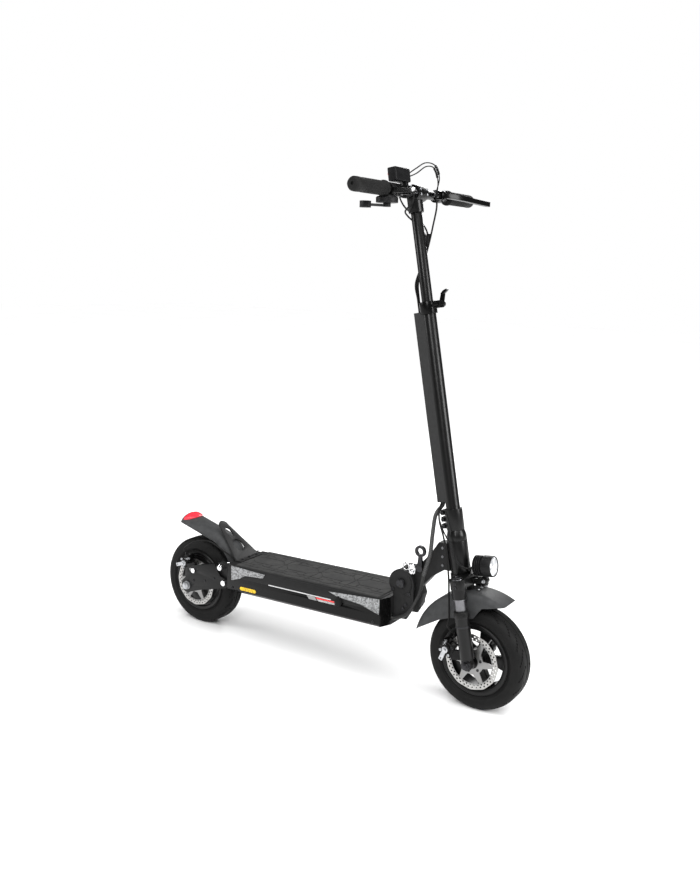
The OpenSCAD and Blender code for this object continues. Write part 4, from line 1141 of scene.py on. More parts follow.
@dataclass
class Tyre(SubAssembly):
    """Pneumatic tyre with a groove down its middle and slanted sipes. Sizes in mm."""
    node: str = "front_tyre"
    body: str = "front_wheel"
    hub: Vector = field(default_factory=Vector)
    outer: float = 127.5
    width: float = 66.0
    tread: float = 30.0
    bead: float = 84.0
    steps: int = 120
    deep: float = 2.2

    def outline(self) -> list[tuple[float, float]]:
        """Returns: the section, (radius, y), bead to bead and back along its inside."""
        side = self.outer - 20
        edge = self.width / 2
        points = [(self.bead, -22), (self.bead + 3, -26.5), (self.bead + 7, -26.5), (self.bead + 9, -28.5)]
        points += [(side - 12, -edge + 2.4), (side - 9, -edge + 0.6), (side - 6, -edge + 1.4)]
        for a in range(0, 91, 10):
            points.append((side + 20 * math.sin(math.radians(a)),
                           -self.tread / 2 - (edge - self.tread / 2) * math.cos(math.radians(a))))
        points += [(self.outer, -self.tread / 2 + 6), (self.outer, -2.2), (self.outer - 2.4, -1.2)]
        mirrored = [(r, -y) for r, y in reversed(points)]
        return points + mirrored

    def build(self) -> None:
        """Builds the tyre: a turned section whose shoulders are cut by sipes."""
        name = self.node + "_treaded"
        piece = lathe(name, self.outline(), self.hub, self.steps)
        low, high = self.tread / 2 - 1.0, self.width / 2 - 4.5
        hub = self.hub

        def is_sipe(face: Face) -> bool:
            """Whether a shoulder face is part of a slanted sipe."""
            spot = (face.calc_center_median() - hub) / MM
            radius = math.hypot(spot.x, spot.z)
            if not (self.outer - 13 < radius < self.outer + 0.4 and low - 8 < abs(spot.y) < high):
                return False
            turn = math.degrees(math.atan2(spot.z, spot.x)) % 360
            step = 360 / self.steps
            index = int(turn / step)
            slant = int(abs(spot.y) - low) // 3
            return (index + slant) % 6 == 0
        if edit(piece, is_sipe):
            bpy.ops.mesh.inset(thickness=0.0006, depth=0.0)
            bpy.ops.transform.shrink_fatten(value=-self.deep * MM)
        close_edit()
        settle(piece, None, 40)
        self.dress(piece, Finish.TYRE, self.body, "tyre", self.node)


@dataclass
class RearEnd(SubAssembly):
    """Swing arm, shocks, hub motor, rear brake. Sizes in mm."""
    arm_out: float = 79.0
    rotor_y: float = -42.0
    spring_wire: float = 1.7

    def motor(self) -> None:
        """Hub motor: finned drum between two dished covers, with its cover screws."""
        outline = [(6.05, -38), (17, -38), (19, -36), (20, -33), (34, -32), (36, -30.5), (56, -30), (60,
                                                                                                     -28),
                   (70, -25), (76, -26), (79, -30), (86, -31), (88, -29), (88, -26.4), (83.8,
                                                                                        -22.6), (83.8,
                                                                                                 22.6),
                   (88, 26.4), (88, 29), (86, 31), (79, 30), (76, 26), (70, 25), (60, 28), (56, 30), (36,
                                                                                                      31),
                   (31, 33), (30, 40.6), (6.05, 40.6)]
        shell = lathe("hub_motor_shell", [(r, -y) for r, y in outline], REAR_HUB, 120)
        edit(shell, lambda f: 60 < self._radius(f) < 71 and abs(f.normal.y) > 0.6 and self._sector(f, 10))
        bpy.ops.mesh.inset(thickness=0.0007, depth=0.0)
        bpy.ops.transform.shrink_fatten(value=-0.0022)
        close_edit()
        settle(shell, None, 32)
        bevel(shell, 0.3, 1, 50)
        self.dress(shell, Finish.SATIN, "rear_wheel", "alloy_black", "hub_motor")
        for side in (-1, 1):
            for i, (a, b) in enumerate(ring_of(8, 57.5, 11)):
                at = REAR_HUB + Vector((a, side * 28.8, b)) * MM
                self.screw(f"motor_screw_{'r' if side < 0 else 'l'}{i}", at, Vector((0, side, 0)), 2.6, 1.8,
                           "rear_wheel")
        for i, (a, b) in enumerate(ring_of(6, 24.5, 15)):
            at = REAR_HUB + Vector((a, self.rotor_y - 1.2, b)) * MM
            self.screw(f"rear_disc_screw_{i}", at, RIGHT, 3.6, 2.4, "rear_wheel")

    def _radius(self, face: Face) -> float:
        """Args: face. Returns: its distance from the rear axle, in mm."""
        spot = face.calc_center_median() - REAR_HUB
        return math.hypot(spot.x, spot.z) / MM

    def _sector(self, face: Face, count: int) -> bool:
        """Args: face, count of sectors. Returns: whether it lies in the wider part of one."""
        spot = face.calc_center_median() - REAR_HUB
        share = (math.degrees(math.atan2(spot.z, spot.x)) % (360 / count)) / (360 / count)
        return 0.12 < share < 0.88

    def build(self) -> None:
        """Builds the rear end."""
        self.motor()
        self.swap("swing_arm", Finish.SATIN, 1.0, 3)
        self.swap("swing_bolts", Finish.CHROME, 0.8, 3)
        self.swap("rear_axle", Finish.ZINC, 0.6)
        self.disc("rear_rotor", Finish.REAR_ROTOR, "rear_wheel", REAR_HUB)
        self.swap("shock_bodies", Finish.CHROME, 0.6)
        self.swap("shock_rods", Finish.CHROME, 0.6)
        self.springs()
        self.caliper("rear", REAR_HUB, 110.0, "swing_arm")
        for side, tag in SIDES:
            pivot = Vector(joint("swing")["pos_m"])
            for i, (dx, dz) in enumerate(((-38, 6), (-74, -8), (-118, -16))):
                at = Vector((pivot.x + dx * MM, side * self.arm_out * MM, pivot.z + dz * MM - 0.002))
                self.screw(f"arm_screw_{tag}_{i}", at, Vector((0, side, 0)), 3.4, 1.8, "swing_arm")
            knob = Vector(joint("shock_turn")["pos_m"])
            at = Vector((knob.x, side * 83 * MM, knob.z))
            self.screw(f"shock_knob_{tag}", at, Vector((0, side, 0)), 8.5, 4.5, "deck", Head.DOME,
                       Finish.CHROME)

    def springs(self) -> None:
        """A round-wire coil spring on each shock."""
        knob = Vector(joint("shock_turn")["pos_m"])
        way = -Vector(joint("shock_stroke")["axis"])
        made = []
        for side in (-1, 1):
            start = Vector((knob.x, side * 57 * MM, knob.z)) + way * 21.2 * MM
            made.append(coil(f"spring_{side}", start, way, 67.5, 9.2, self.spring_wire, 8.5))
        piece = join(made[0], made[1:], "shock_coils")
        self.dress(piece, Finish.SATIN, "shock_body", "alloy_black", "shock_springs")
        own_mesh(piece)

    def caliper(self, end: str, hub: Vector, turn: float, body: str) -> None:
        """Args: end: front or rear. hub: the axle. turn: direction of the caliper, degrees. body: its
        carrier."""
        self.swap(f"{end}_caliper", Finish.GLOSS, 1.2, 3)
        self.swap(f"{end}_caliper_arm", Finish.ZINC, 0.6)
        place = Matrix.Translation(hub) @ Matrix.Rotation(-math.radians(turn), 4, "Y")
        way = place.to_3x3()

        def at(x: float, y: float, z: float) -> Vector:
            """Place in the caliper's frame, mm, as metres."""
            return place @ Vector((x * MM, y * MM, z * MM))
        for i, (x, z) in enumerate(((52, -11), (52, 11), (76, -11), (76, 11))):
            self.screw(f"{end}_caliper_screw_{i}", at(x, -64, z), RIGHT, 3.6, 2.6, body,
                       finish=Finish.ZINC if i % 2 else Finish.DARK_STEEL)
        spring = coil(f"{end}_return_spring", at(73, -65, -20), way @ Vector((0, 0, 1)), 20, 3.2, 0.6, 7)
        self.dress(spring, Finish.ZINC, body, "steel")
        fins = []
        for i in range(4):
            fin = block("fin", (1.4, 2.4, 24), (50 + i * 5.0, -65, 0), place, 0.4, 1)
            fins.append(fin)
        piece = join(fins[0], fins[1:], f"{end}_caliper_fins")
        self.dress(piece, Finish.GLOSS, body, "alloy_black")


@dataclass
class Fold(SubAssembly):
    """Nose of the deck, hinge, neck and latch. Sizes in mm."""
    ear_out: float = 32.0
    neck_half: float = 14.0

    def spot(self, dx: float, y: float, dz: float) -> Vector:
        """Args: dx, dz: from the hinge, y: from the middle, in mm. Returns: the place in metres."""
        return HINGE + Vector((dx, y, dz)) * MM

    def build(self) -> None:
        """Builds the fold."""
        nose = self.swap("front_bracket", Finish.POWDER, 1.2, 3)
        front = DECK.at(254.0, 0, 0).x
        paint_faces(nose, Finish.GLOSS, lambda place,
                    normal: place.x < front + 0.0155 and abs(place.y) > 0.033)
        self.swap("neck_bracket", Finish.POWDER, 1.6, 3)
        self.swap("head_tube", Finish.SATIN, 1.0, 3)
        self.swap("hinge_pin", Finish.DARK_STEEL, 1.0, 3)
        self.swap("fold_latch", Finish.DARK_STEEL, 1.2, 3)
        for side, tag in SIDES:
            out = Vector((0, side, 0))
            self.screw(f"hinge_cap_{tag}", self.spot(0, side * (self.ear_out + 5), 0), out, 11.0, 3.0,
                       "deck",
                       Head.SOCKET, Finish.DARK_STEEL)
            for i, (dx, dz) in enumerate(((8, -66), (16, -54), (-24, -20), (24, -24))):
                self.screw(f"ear_screw_{tag}_{i}", self.spot(dx, side * self.ear_out, dz), out, 4.4, 2.6,
                           "deck")
            for i in range(3):
                at = STEER.at(-36 - 3 * i, side * self.neck_half, 398 - 22 * i)
                self.screw(f"neck_screw_{tag}_{i}", at, out, 3.4, 1.8, "neck", finish=Finish.GREY_STEEL)
        arc = [self.spot(30 * math.cos(math.radians(a)), -self.ear_out - 0.6,
                         30 * math.sin(math.radians(a)))
               for a in range(-75, 46, 10)]
        self.dress(cable("ear_rib", arc, 1.3, 8, 2), Finish.POWDER, "deck", "alloy_dark")
        self.clasp()

    def clasp(self) -> None:
        """Chromed hook and eye bolt of the latch above the hinge, right of the neck."""
        plate = prism("latch_hook", [(10, 30), (24, 22), (34, 30), (36, 44), (28, 54), (16, 50), (22, 40),
                                     (12, 40)],
                      -24.5, -15.0, "XZ", Matrix.Translation(HINGE))
        bevel(plate, 1.6, 3, 40)
        self.dress(settle(plate), Finish.CHROME, "neck", "steel")
        self.screw("latch_stud", self.spot(26, -24.5, 34), RIGHT, 6.0, 5.0, "neck", Head.DOME,
                   Finish.CHROME)
        eye = lathe("latch_eye", [(9 + 2.2 * math.cos(math.radians(a)), 2.2 * math.sin(math.radians(a)))
                                  for a in range(0, 360, 45)], self.spot(6, -20, 42), 40)
        self.dress(settle(eye, None, 60), Finish.CHROME, "neck", "steel")


@dataclass
class FrontEnd(SubAssembly):
    """Fork, front wheel, front fender, brake and lamp. Sizes in mm."""
    crown: float = 333.78
    axle: float = 125.78
    leg_y: float = 62.0
    leg_x: float = 21.0
    rim_r: float = 84.0
    spokes: int = 5

    def rim(self) -> None:
        """Cast rim: a barrel, a hub and wide curved spokes with open gaps."""
        r = self.rim_r
        barrel = lathe("front_rim_cast", [(75.5, -27), (81, -29.5), (88, -30), (89.3, -28.5), (89, -26.4),
                                          (r - 0.1, -22.4), (r - 0.1, 22.4), (89, 26.4), (89.3,
                                                                                          28.5), (88, 30),
                                          (81, 29.5), (75.5, 27), (77.5, 12), (77.5, -12)], FRONT_HUB, 120)
        hub = lathe("hub", [(6.05, -36), (18, -36), (20, -33), (21, -24), (23, -14), (23, 14), (22, 24),
                            (29, 34),
                            (30, 40.7), (6.05, 40.7)], FRONT_HUB, 72)
        hub.data.transform(Matrix.Translation(FRONT_HUB) @ Matrix.Scale(-1, 4, (0, 1, 0))
                           @ Matrix.Translation(-FRONT_HUB))
        settle(hub)
        parts = [hub]
        for i in range(self.spokes):
            arm = prism("arm", [(16, -11), (30, -9.5), (48, -12), (64, -17), (79, -22), (79, 22), (64,
                                                                                                   17), (48, 12),
                                (30, 9.5), (16, 11)], -9, 9, "XZ",
                        Matrix.Translation(FRONT_HUB) @ Matrix.Rotation(math.tau * i / self.spokes, 4, "Y"))
            bevel(arm, 2.4, 3, 50)
            parts.append(arm)
        piece = join(barrel, parts, "front_rim_cast")
        settle(piece, None, 35)
        self.dress(piece, Finish.SATIN, "front_wheel", "alloy_black", "front_rim")
        for i, (a, b) in enumerate(ring_of(6, 24.5, 15)):
            at = FRONT_HUB + Vector((a, -43.0, b)) * MM
            self.screw(f"front_disc_screw_{i}", at, RIGHT, 3.6, 1.1, "front_wheel")
        valve = cable("valve", [FRONT_HUB + Vector((12, 0, -76)) * MM, FRONT_HUB + Vector((9, 1, -62)) * MM,
                                FRONT_HUB + Vector((7, 3, -50)) * MM], 2.6, 12, 3)
        self.dress(valve, Finish.HOSE, "front_wheel", "rubber")

    def leg_ring(self, name: str, profile: Sequence[tuple[float, float]], side: int, foot: float,
                 finish: Finish, body: str, slot: str) -> None:
        """Adds a turned ring round a fork leg.

        Args:
            name, profile: as in lathe().
            side: -1 is right.
            foot: its height along the steering axis, in mm.
            finish, body, slot: as in dress().
        """
        ring = lathe(name, profile, Vector(), 64, "Z")
        ring.data.transform(STEER.shift(self.leg_x, side * self.leg_y, foot))
        self.dress(settle(ring), finish, body, slot)

    def fork(self) -> None:
        """Crown, tubes, lower legs with their seals, and their screws."""
        self.swap("fork_crown", Finish.SATIN, 2.2, 4)
        self.swap("stanchions", Finish.GREY_STEEL, 0.5)
        self.swap("headset", Finish.SATIN, 0.8, 3)
        self.swap("fork_lowers", Finish.SATIN, 1.6, 3)
        self.swap("front_axle", Finish.DARK_STEEL, 0.7)
        self.disc("front_rotor", Finish.FRONT_ROTOR, "front_wheel", FRONT_HUB)
        self.finish_node("fork_springs", Finish.ZINC)
        for s, tag in SIDES:
            self.leg_ring(f"dust_seal_{tag}", [(13.6, 0), (18.6, 0), (18.9, 1.5), (18.4, 5), (16, 7.5),
                                               (13.6, 8)],
                          s, self.axle + 124.2, Finish.HOSE, "fork_lowers", "rubber")
            self.leg_ring(f"leg_band_{tag}", [(17.4, 0), (18.2, 0.4), (18.2, 4.2), (17.4, 4.6)],
                          s, self.axle + 92, Finish.DARK_STEEL, "fork_lowers", "alloy_black")
            self.leg_ring(f"crown_sleeve_{tag}", [(13.6, -23), (16.4, -23), (17, -22.2), (17, 0), (13.6,
                                                                                                   0)],
                          s, self.crown - 24, Finish.SATIN, "fork", "alloy_black")
            cap = STEER.at(self.leg_x, s * self.leg_y, self.crown + 1.5)
            self.screw(f"fork_cap_{tag}", cap, STEER.way(0, 0, 1), 11.5, 4.0, "fork", Head.SOCKET)
            for i, z in enumerate((-7, -17)):
                at = STEER.at(self.leg_x + 2, s * (self.leg_y + 18.3), self.crown + z)
                self.screw(f"crown_screw_{tag}_{i}", at, Vector((0, s, 0)), 3.4, 2.6, "fork",
                           finish=Finish.DARK_STEEL)

    def lamp(self) -> None:
        """Round lamp: cooling fins, bezel, three reflector cups and a glass, and its bracket."""
        pivot = Vector(joint("headlight_tilt")["pos_m"])
        mid = STEER.at(66, 0, self.crown + 18)
        turn = Matrix.Translation(mid) @ Matrix.Rotation(math.radians(82), 4, "Y")
        outline = [(0, -24.5), (20, -24.5), (21.5, -23)]
        for i in range(4):
            z = -22 + 5.2 * i
            outline += [(24.6, z), (25.2, z + 0.5), (25.2, z + 2.3), (24.6, z + 2.8), (20.5, z + 2.9),
                        (20.5, z + 5.0)]
        outline += [(25, 0), (26, 1.5), (26, 23), (25, 26), (23.4, 26.2), (22.9, 25.2), (22.9, 17), (0, 17)]
        body = lathe("lamp_body", outline, Vector(), 72, "Z")
        ribs = []
        for i in range(10):
            a = math.radians(36 * i)
            rib = block("rib", (2.0, 1.8, 19), (25.6 * math.cos(a), 25.6 * math.sin(a), 11.5), None, 0.4, 1)
            ribs.append(rib)
        body = join(body, ribs)
        body.data.transform(turn)
        stem = block("stem", (11, 10, 14), (0, 0, 8), Matrix.Translation(pivot), 1.0, 2)
        knuckle = prism("knuckle", [(8 * math.cos(math.radians(a)), 8 * math.sin(math.radians(a)))
                                    for a in range(0, 360, 15)], -5, 5, "XZ", Matrix.Translation(pivot))
        pin = prism("pin", [(3 * math.cos(math.radians(a)), 3 * math.sin(math.radians(a)))
                            for a in range(0, 360, 20)], -9, 9, "XZ", Matrix.Translation(pivot))
        body = join(body, [stem, knuckle, pin], "lamp_body")
        settle(body, None, 32)
        self.dress(body, Finish.PLASTIC, "headlight", "alloy_black", "headlight")
        cups = []
        for i in range(3):
            a = math.radians(120 * i + 90)
            cup = lathe("cup", [(0, 17.3), (3.0, 17.4), (4.8, 18.4), (8.4, 22.6), (9.2, 22.6), (9.2,
                                                                                                17.1), (0,
                                                                                                        17.1)],
                        Vector(), 32, "Z")
            cup.data.transform(turn @ Matrix.Translation(Vector((11.2 * math.cos(a), 11.2 * math.sin(a),
                                                                 0)) * MM))
            cups.append(cup)
        cup = join(cups[0], cups[1:], "lamp_cups")
        self.dress(settle(cup, None, 50), Finish.CHROME, "headlight", "steel")
        glass = lathe("lamp_glass", [(0, 23), (22.6, 23), (22.8, 24.2), (20, 25.0), (0, 25.6)], Vector(),
                      64, "Z")
        glass.data.transform(turn)
        self.dress(settle(glass, None, 50), Finish.LAMP_GLASS, "headlight", "clear_strip")
        for s in (-1, 1):
            self.screw(f"lamp_screw_{'right' if s < 0 else 'left'}", pivot + Vector((0, s * 9.9, 0)) * MM,
                       Vector((0, s, 0)), 5.0, 3.0, "headlight", Head.HEX, Finish.ZINC)

    def build(self) -> None:
        """Builds the front end."""
        self.rim()
        self.fork()
        self.lamp()
        self.swap("front_fender", Finish.FENDER, 0.5, 2, 40)
        for s in (-1, 1):
            self.screw(f"fender_screw_{s + 1}", STEER.at(self.leg_x + 26, s * 9, self.axle + 168.3),
                       STEER.way(0.1, 0, 1), 3.6, 2.2, "fork", finish=Finish.ZINC)


@dataclass
class Stem(SubAssembly):
    """Lower stem with its duct, split collar, height clamp and inner tube. Sizes in mm."""
    collar: float = 442.48
    collar_h: float = 52.0
    tube_r: float = 17.4
    top: float = STEM_TOP
    pin_w: float = 29.4

    def build(self) -> None:
        """Builds the stem."""
        body = self.swap("lower_stem", Finish.SATIN, 1.0, 3)
        back = self.tube_r * 0.42 * MM
        inverse = STEER.matrix.inverted()
        duct_foot = (self.collar + self.collar_h + 12) * MM

        def is_duct(place: Vector, normal: Vector) -> bool:
            """Whether a face belongs to the box behind the tube."""
            spot = inverse @ place
            return spot.z > duct_foot and spot.x < -back
        paint_faces(body, Finish.DUCT, is_duct)
        for i in range(3):
            for s in (-1, 1):
                at = STEER.at(-27.4, s * 9, self.collar + 9 + 17 * i)
                self.screw(f"collar_screw_{'r' if s < 0 else 'l'}{i}", at, Vector((0, s, 0)), 4.4, 3.6,
                           "fork",
                           Head.SOCKET if s < 0 else Head.HEX)
        self.swap("inner_tube", Finish.SATIN, 0.5)
        self.swap("height_clamp", Finish.GLOSS, 1.4, 3)
        pin = STEER.at(self.pin_w, 0, self.top + 14)
        lever = self.swap("clamp_lever", Finish.GLOSS, 1.4, 3)
        about = Matrix.Translation(pin)
        short = about @ Matrix.Scale(0.62, 4, STEER.way(0, 0, 1)) @ about.inverted()
        lever.data.transform(short)
        self.screw("clamp_nut", pin + LEFT * 17 * MM, LEFT, 7.5, 8.0, "clamp_lever", Head.DOME)
        paddle = prism("clamp_paddle", [(2, 40), (10, 52), (20, 58), (24, 52), (16, 42), (8, 34)], 9.5,
                       19.5, "XZ",
                       short @ STEER.shift(self.pin_w, 0, self.top + 14))
        bevel(paddle, 1.8, 3, 40)
        self.dress(settle(paddle), Finish.GLOSS, "clamp_lever", "alloy_black")


@dataclass
class Cockpit(SubAssembly):
    """Handlebar, grips, levers, throttle and display. Sizes in mm."""
    half: float = 281.0
    tube_r: float = 11.1
    grip: float = 132.0
    lever_x: float = 28.0
    lever_y: float = 84.0
    perch_y: float = 104.0
    throttle_y: float = -138.0
    display_y: float = -84.0

    def at(self, x: float, y: float, z: float) -> Vector:
        """Args: x, y, z: from the middle of the bar, in mm. Returns: the place in metres."""
        return BAR + Vector((x, y, z)) * MM

    def grip_shape(self, side: int) -> bpy.types.Object:
        """Args: side: -1 is right. Returns: a grip with a flared end, ribs and a palm wing."""
        end = self.half + 4
        start = end - self.grip
        outline = [(self.tube_r + 0.1, start), (18.5, start), (19.2, start + 2), (19.2, start + 5), (17,
                                                                                                     start + 7)]
        y = start + 8
        while y < end - 36:
            outline += [(16.2, y), (16.9, y + 0.8), (16.9, y + 2.4), (16.2, y + 3.2)]
            y += 4.2
        outline += [(16.6, end - 30), (17.2, end - 14), (16.8, end - 5), (14.6, end - 1), (10.5,
                                                                                           end + 0.6), (4.2, end + 1),
                    (3.6, end - 3.2), (0, end - 3.2), (0, end - 3.8), (self.tube_r + 0.1, end - 3.8)]
        if side < 0:
            outline = [(r, -v) for r, v in outline]
        tag = "right" if side < 0 else "left"
        piece = lathe(f"grip_{tag}", outline, BAR, 56)
        move = Matrix.Translation(BAR)
        wing = prism("wing", [(-10, start + 54), (-19, start + 62), (-26, start + 74), (-27, end - 26),
                              (-25, end - 16), (-19, end - 10), (-10, end - 9)], -3.0, 4.6, "XY",
                     move @ Matrix.Scale(side, 4, (0, 1, 0)))
        bevel(wing, 3.4, 4, 40)
        piece = join(piece, [wing], f"grip_{tag}")
        return settle(piece, None, 40)

    def controls(self) -> None:
        """Levers, their perches and adjusters, throttle, display and button."""
        for side, node in ((-1, "brake_lever_right"), (1, "brake_lever_left")):
            lever = self.swap(node, Finish.GLOSS, 2.4, 4)
            pivot = Matrix.Translation(self.at(self.lever_x, side * self.lever_y, 0))
            lever.data.transform(pivot @ Matrix.Rotation(math.radians(-4.5 * side), 4,
                                                         "X") @ pivot.inverted())
        self.swap("lever_perches", Finish.GLOSS, 1.6, 3)
        self.swap("throttle_housing", Finish.PLASTIC, 1.4, 3)
        self.swap("thumb_throttle", Finish.PLASTIC, 1.6, 3)
        self.swap("power_button", Finish.RED_PLASTIC, 0.6, 2)
        for side, tag in SIDES:
            out = [(2.6, 0), (5.2, 0), (5.2, 3), (4.6, 3.6), (4.6, 9), (5.4, 9.8), (5.4, 14), (4.2, 15.5),
                   (2.6, 15.5)]
            knurl = lathe(f"adjuster_{tag}", [(r, -v if side > 0 else v) for r, v in out],
                          self.at(self.lever_x - 6, side * (self.lever_y - 28), 0), 24)
            self.dress(settle(knurl), Finish.DARK_STEEL, "mast", "alloy_black")
            self.screw(f"lever_screw_{tag}", self.at(self.lever_x, side * self.lever_y, 10), Vector((0, 0,
                                                                                                     1)), 5, 2.6,
                       "mast", Head.SOCKET, Finish.ZINC)
            for z in (-1, 1):
                self.screw(f"perch_screw_{tag}_{z + 1}", self.at(13, side * self.perch_y, z * 12),
                           Vector((1, 0, 0)),
                           2.8, 2.4, "mast")
        self.display()
        disc = lathe("throttle_disc", [(0, -27.4), (25.4, -27.4), (26.2, -24), (26.2, -20.4), (24, -17.6),
                                       (19, -16.6),
                                       (18, -14.6), (0, -14.6)], self.at(0, self.throttle_y, 0), 56, "Z")
        bevel(disc, 0.4, 2, 40)
        self.dress(settle(disc), Finish.PLASTIC, "mast", "plastic")
        for i, (a, b) in enumerate(ring_of(3, 20.5, 40)):
            self.screw(f"throttle_screw_{i}", self.at(a, self.throttle_y + b, -17), Vector((0, 0, 1)),
                       2.2, 1.4, "mast")

    def display(self) -> None:
        """Display: a thin case with a bezel, leaning back on a foot that is clamped to the bar."""
        foot = self.display_y + 27
        low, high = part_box("display")
        mid = ((low + high) / 2 - BAR) / MM
        top = (high.z - BAR.z) / MM
        case = block("display_case", (24, 68, 33), (0, 0, 0), None, 3.4, 4)
        edit(case, lambda f: f.normal.x < -0.99)
        bpy.ops.mesh.inset(thickness=0.003, depth=-0.0009)
        close_edit()
        lean = Matrix.Translation(self.at(-1.8, mid.y, top - 17.5)) @ Matrix.Rotation(math.radians(-9), 4,
                                                                                      "Y")
        settle(case, lean)
        collar = lathe("collar", [(self.tube_r + 0.1, foot - 7), (15, foot - 7), (16, foot - 6), (16,
                                                                                                  foot + 6),
                                  (15, foot + 7), (self.tube_r + 0.1, foot + 7)], BAR, 48)
        arm = block("arm", (11, 13, 16), (0, foot, 17), Matrix.Translation(BAR), 2.0, 3)
        case = join(case, [collar, arm], "display_case")
        self.dress(settle(case, None, 40), Finish.PLASTIC, "mast", "plastic", "display")
        screen = block("display_screen", (1.0, 40, 24), (-11.3, 7, 0), lean, 0.3)
        self.dress(screen, Finish.SCREEN, "mast", "plastic")

    def build(self) -> None:
        """Builds the cockpit."""
        self.swap("handlebar", Finish.SATIN, 0.4)
        self.swap("bar_clamp", Finish.SATIN, 1.6, 3)
        for s in (-1, 1):
            for i, z in enumerate((-1, 1)):
                self.screw(f"bar_screw_{s + 1}_{i}", STEER.at(8 + 19.4, s * 15, BAR_HEIGHT + z * 6),
                           STEER.way(1, 0, 0),
                           3.2, 2.6, "mast", finish=Finish.ZINC)
        self.dress(self.grip_shape(-1), Finish.GRIP, "mast", "rubber", "grips")
        self.dress(self.grip_shape(1), Finish.GRIP, "mast", "rubber", "grips")
        self.controls()


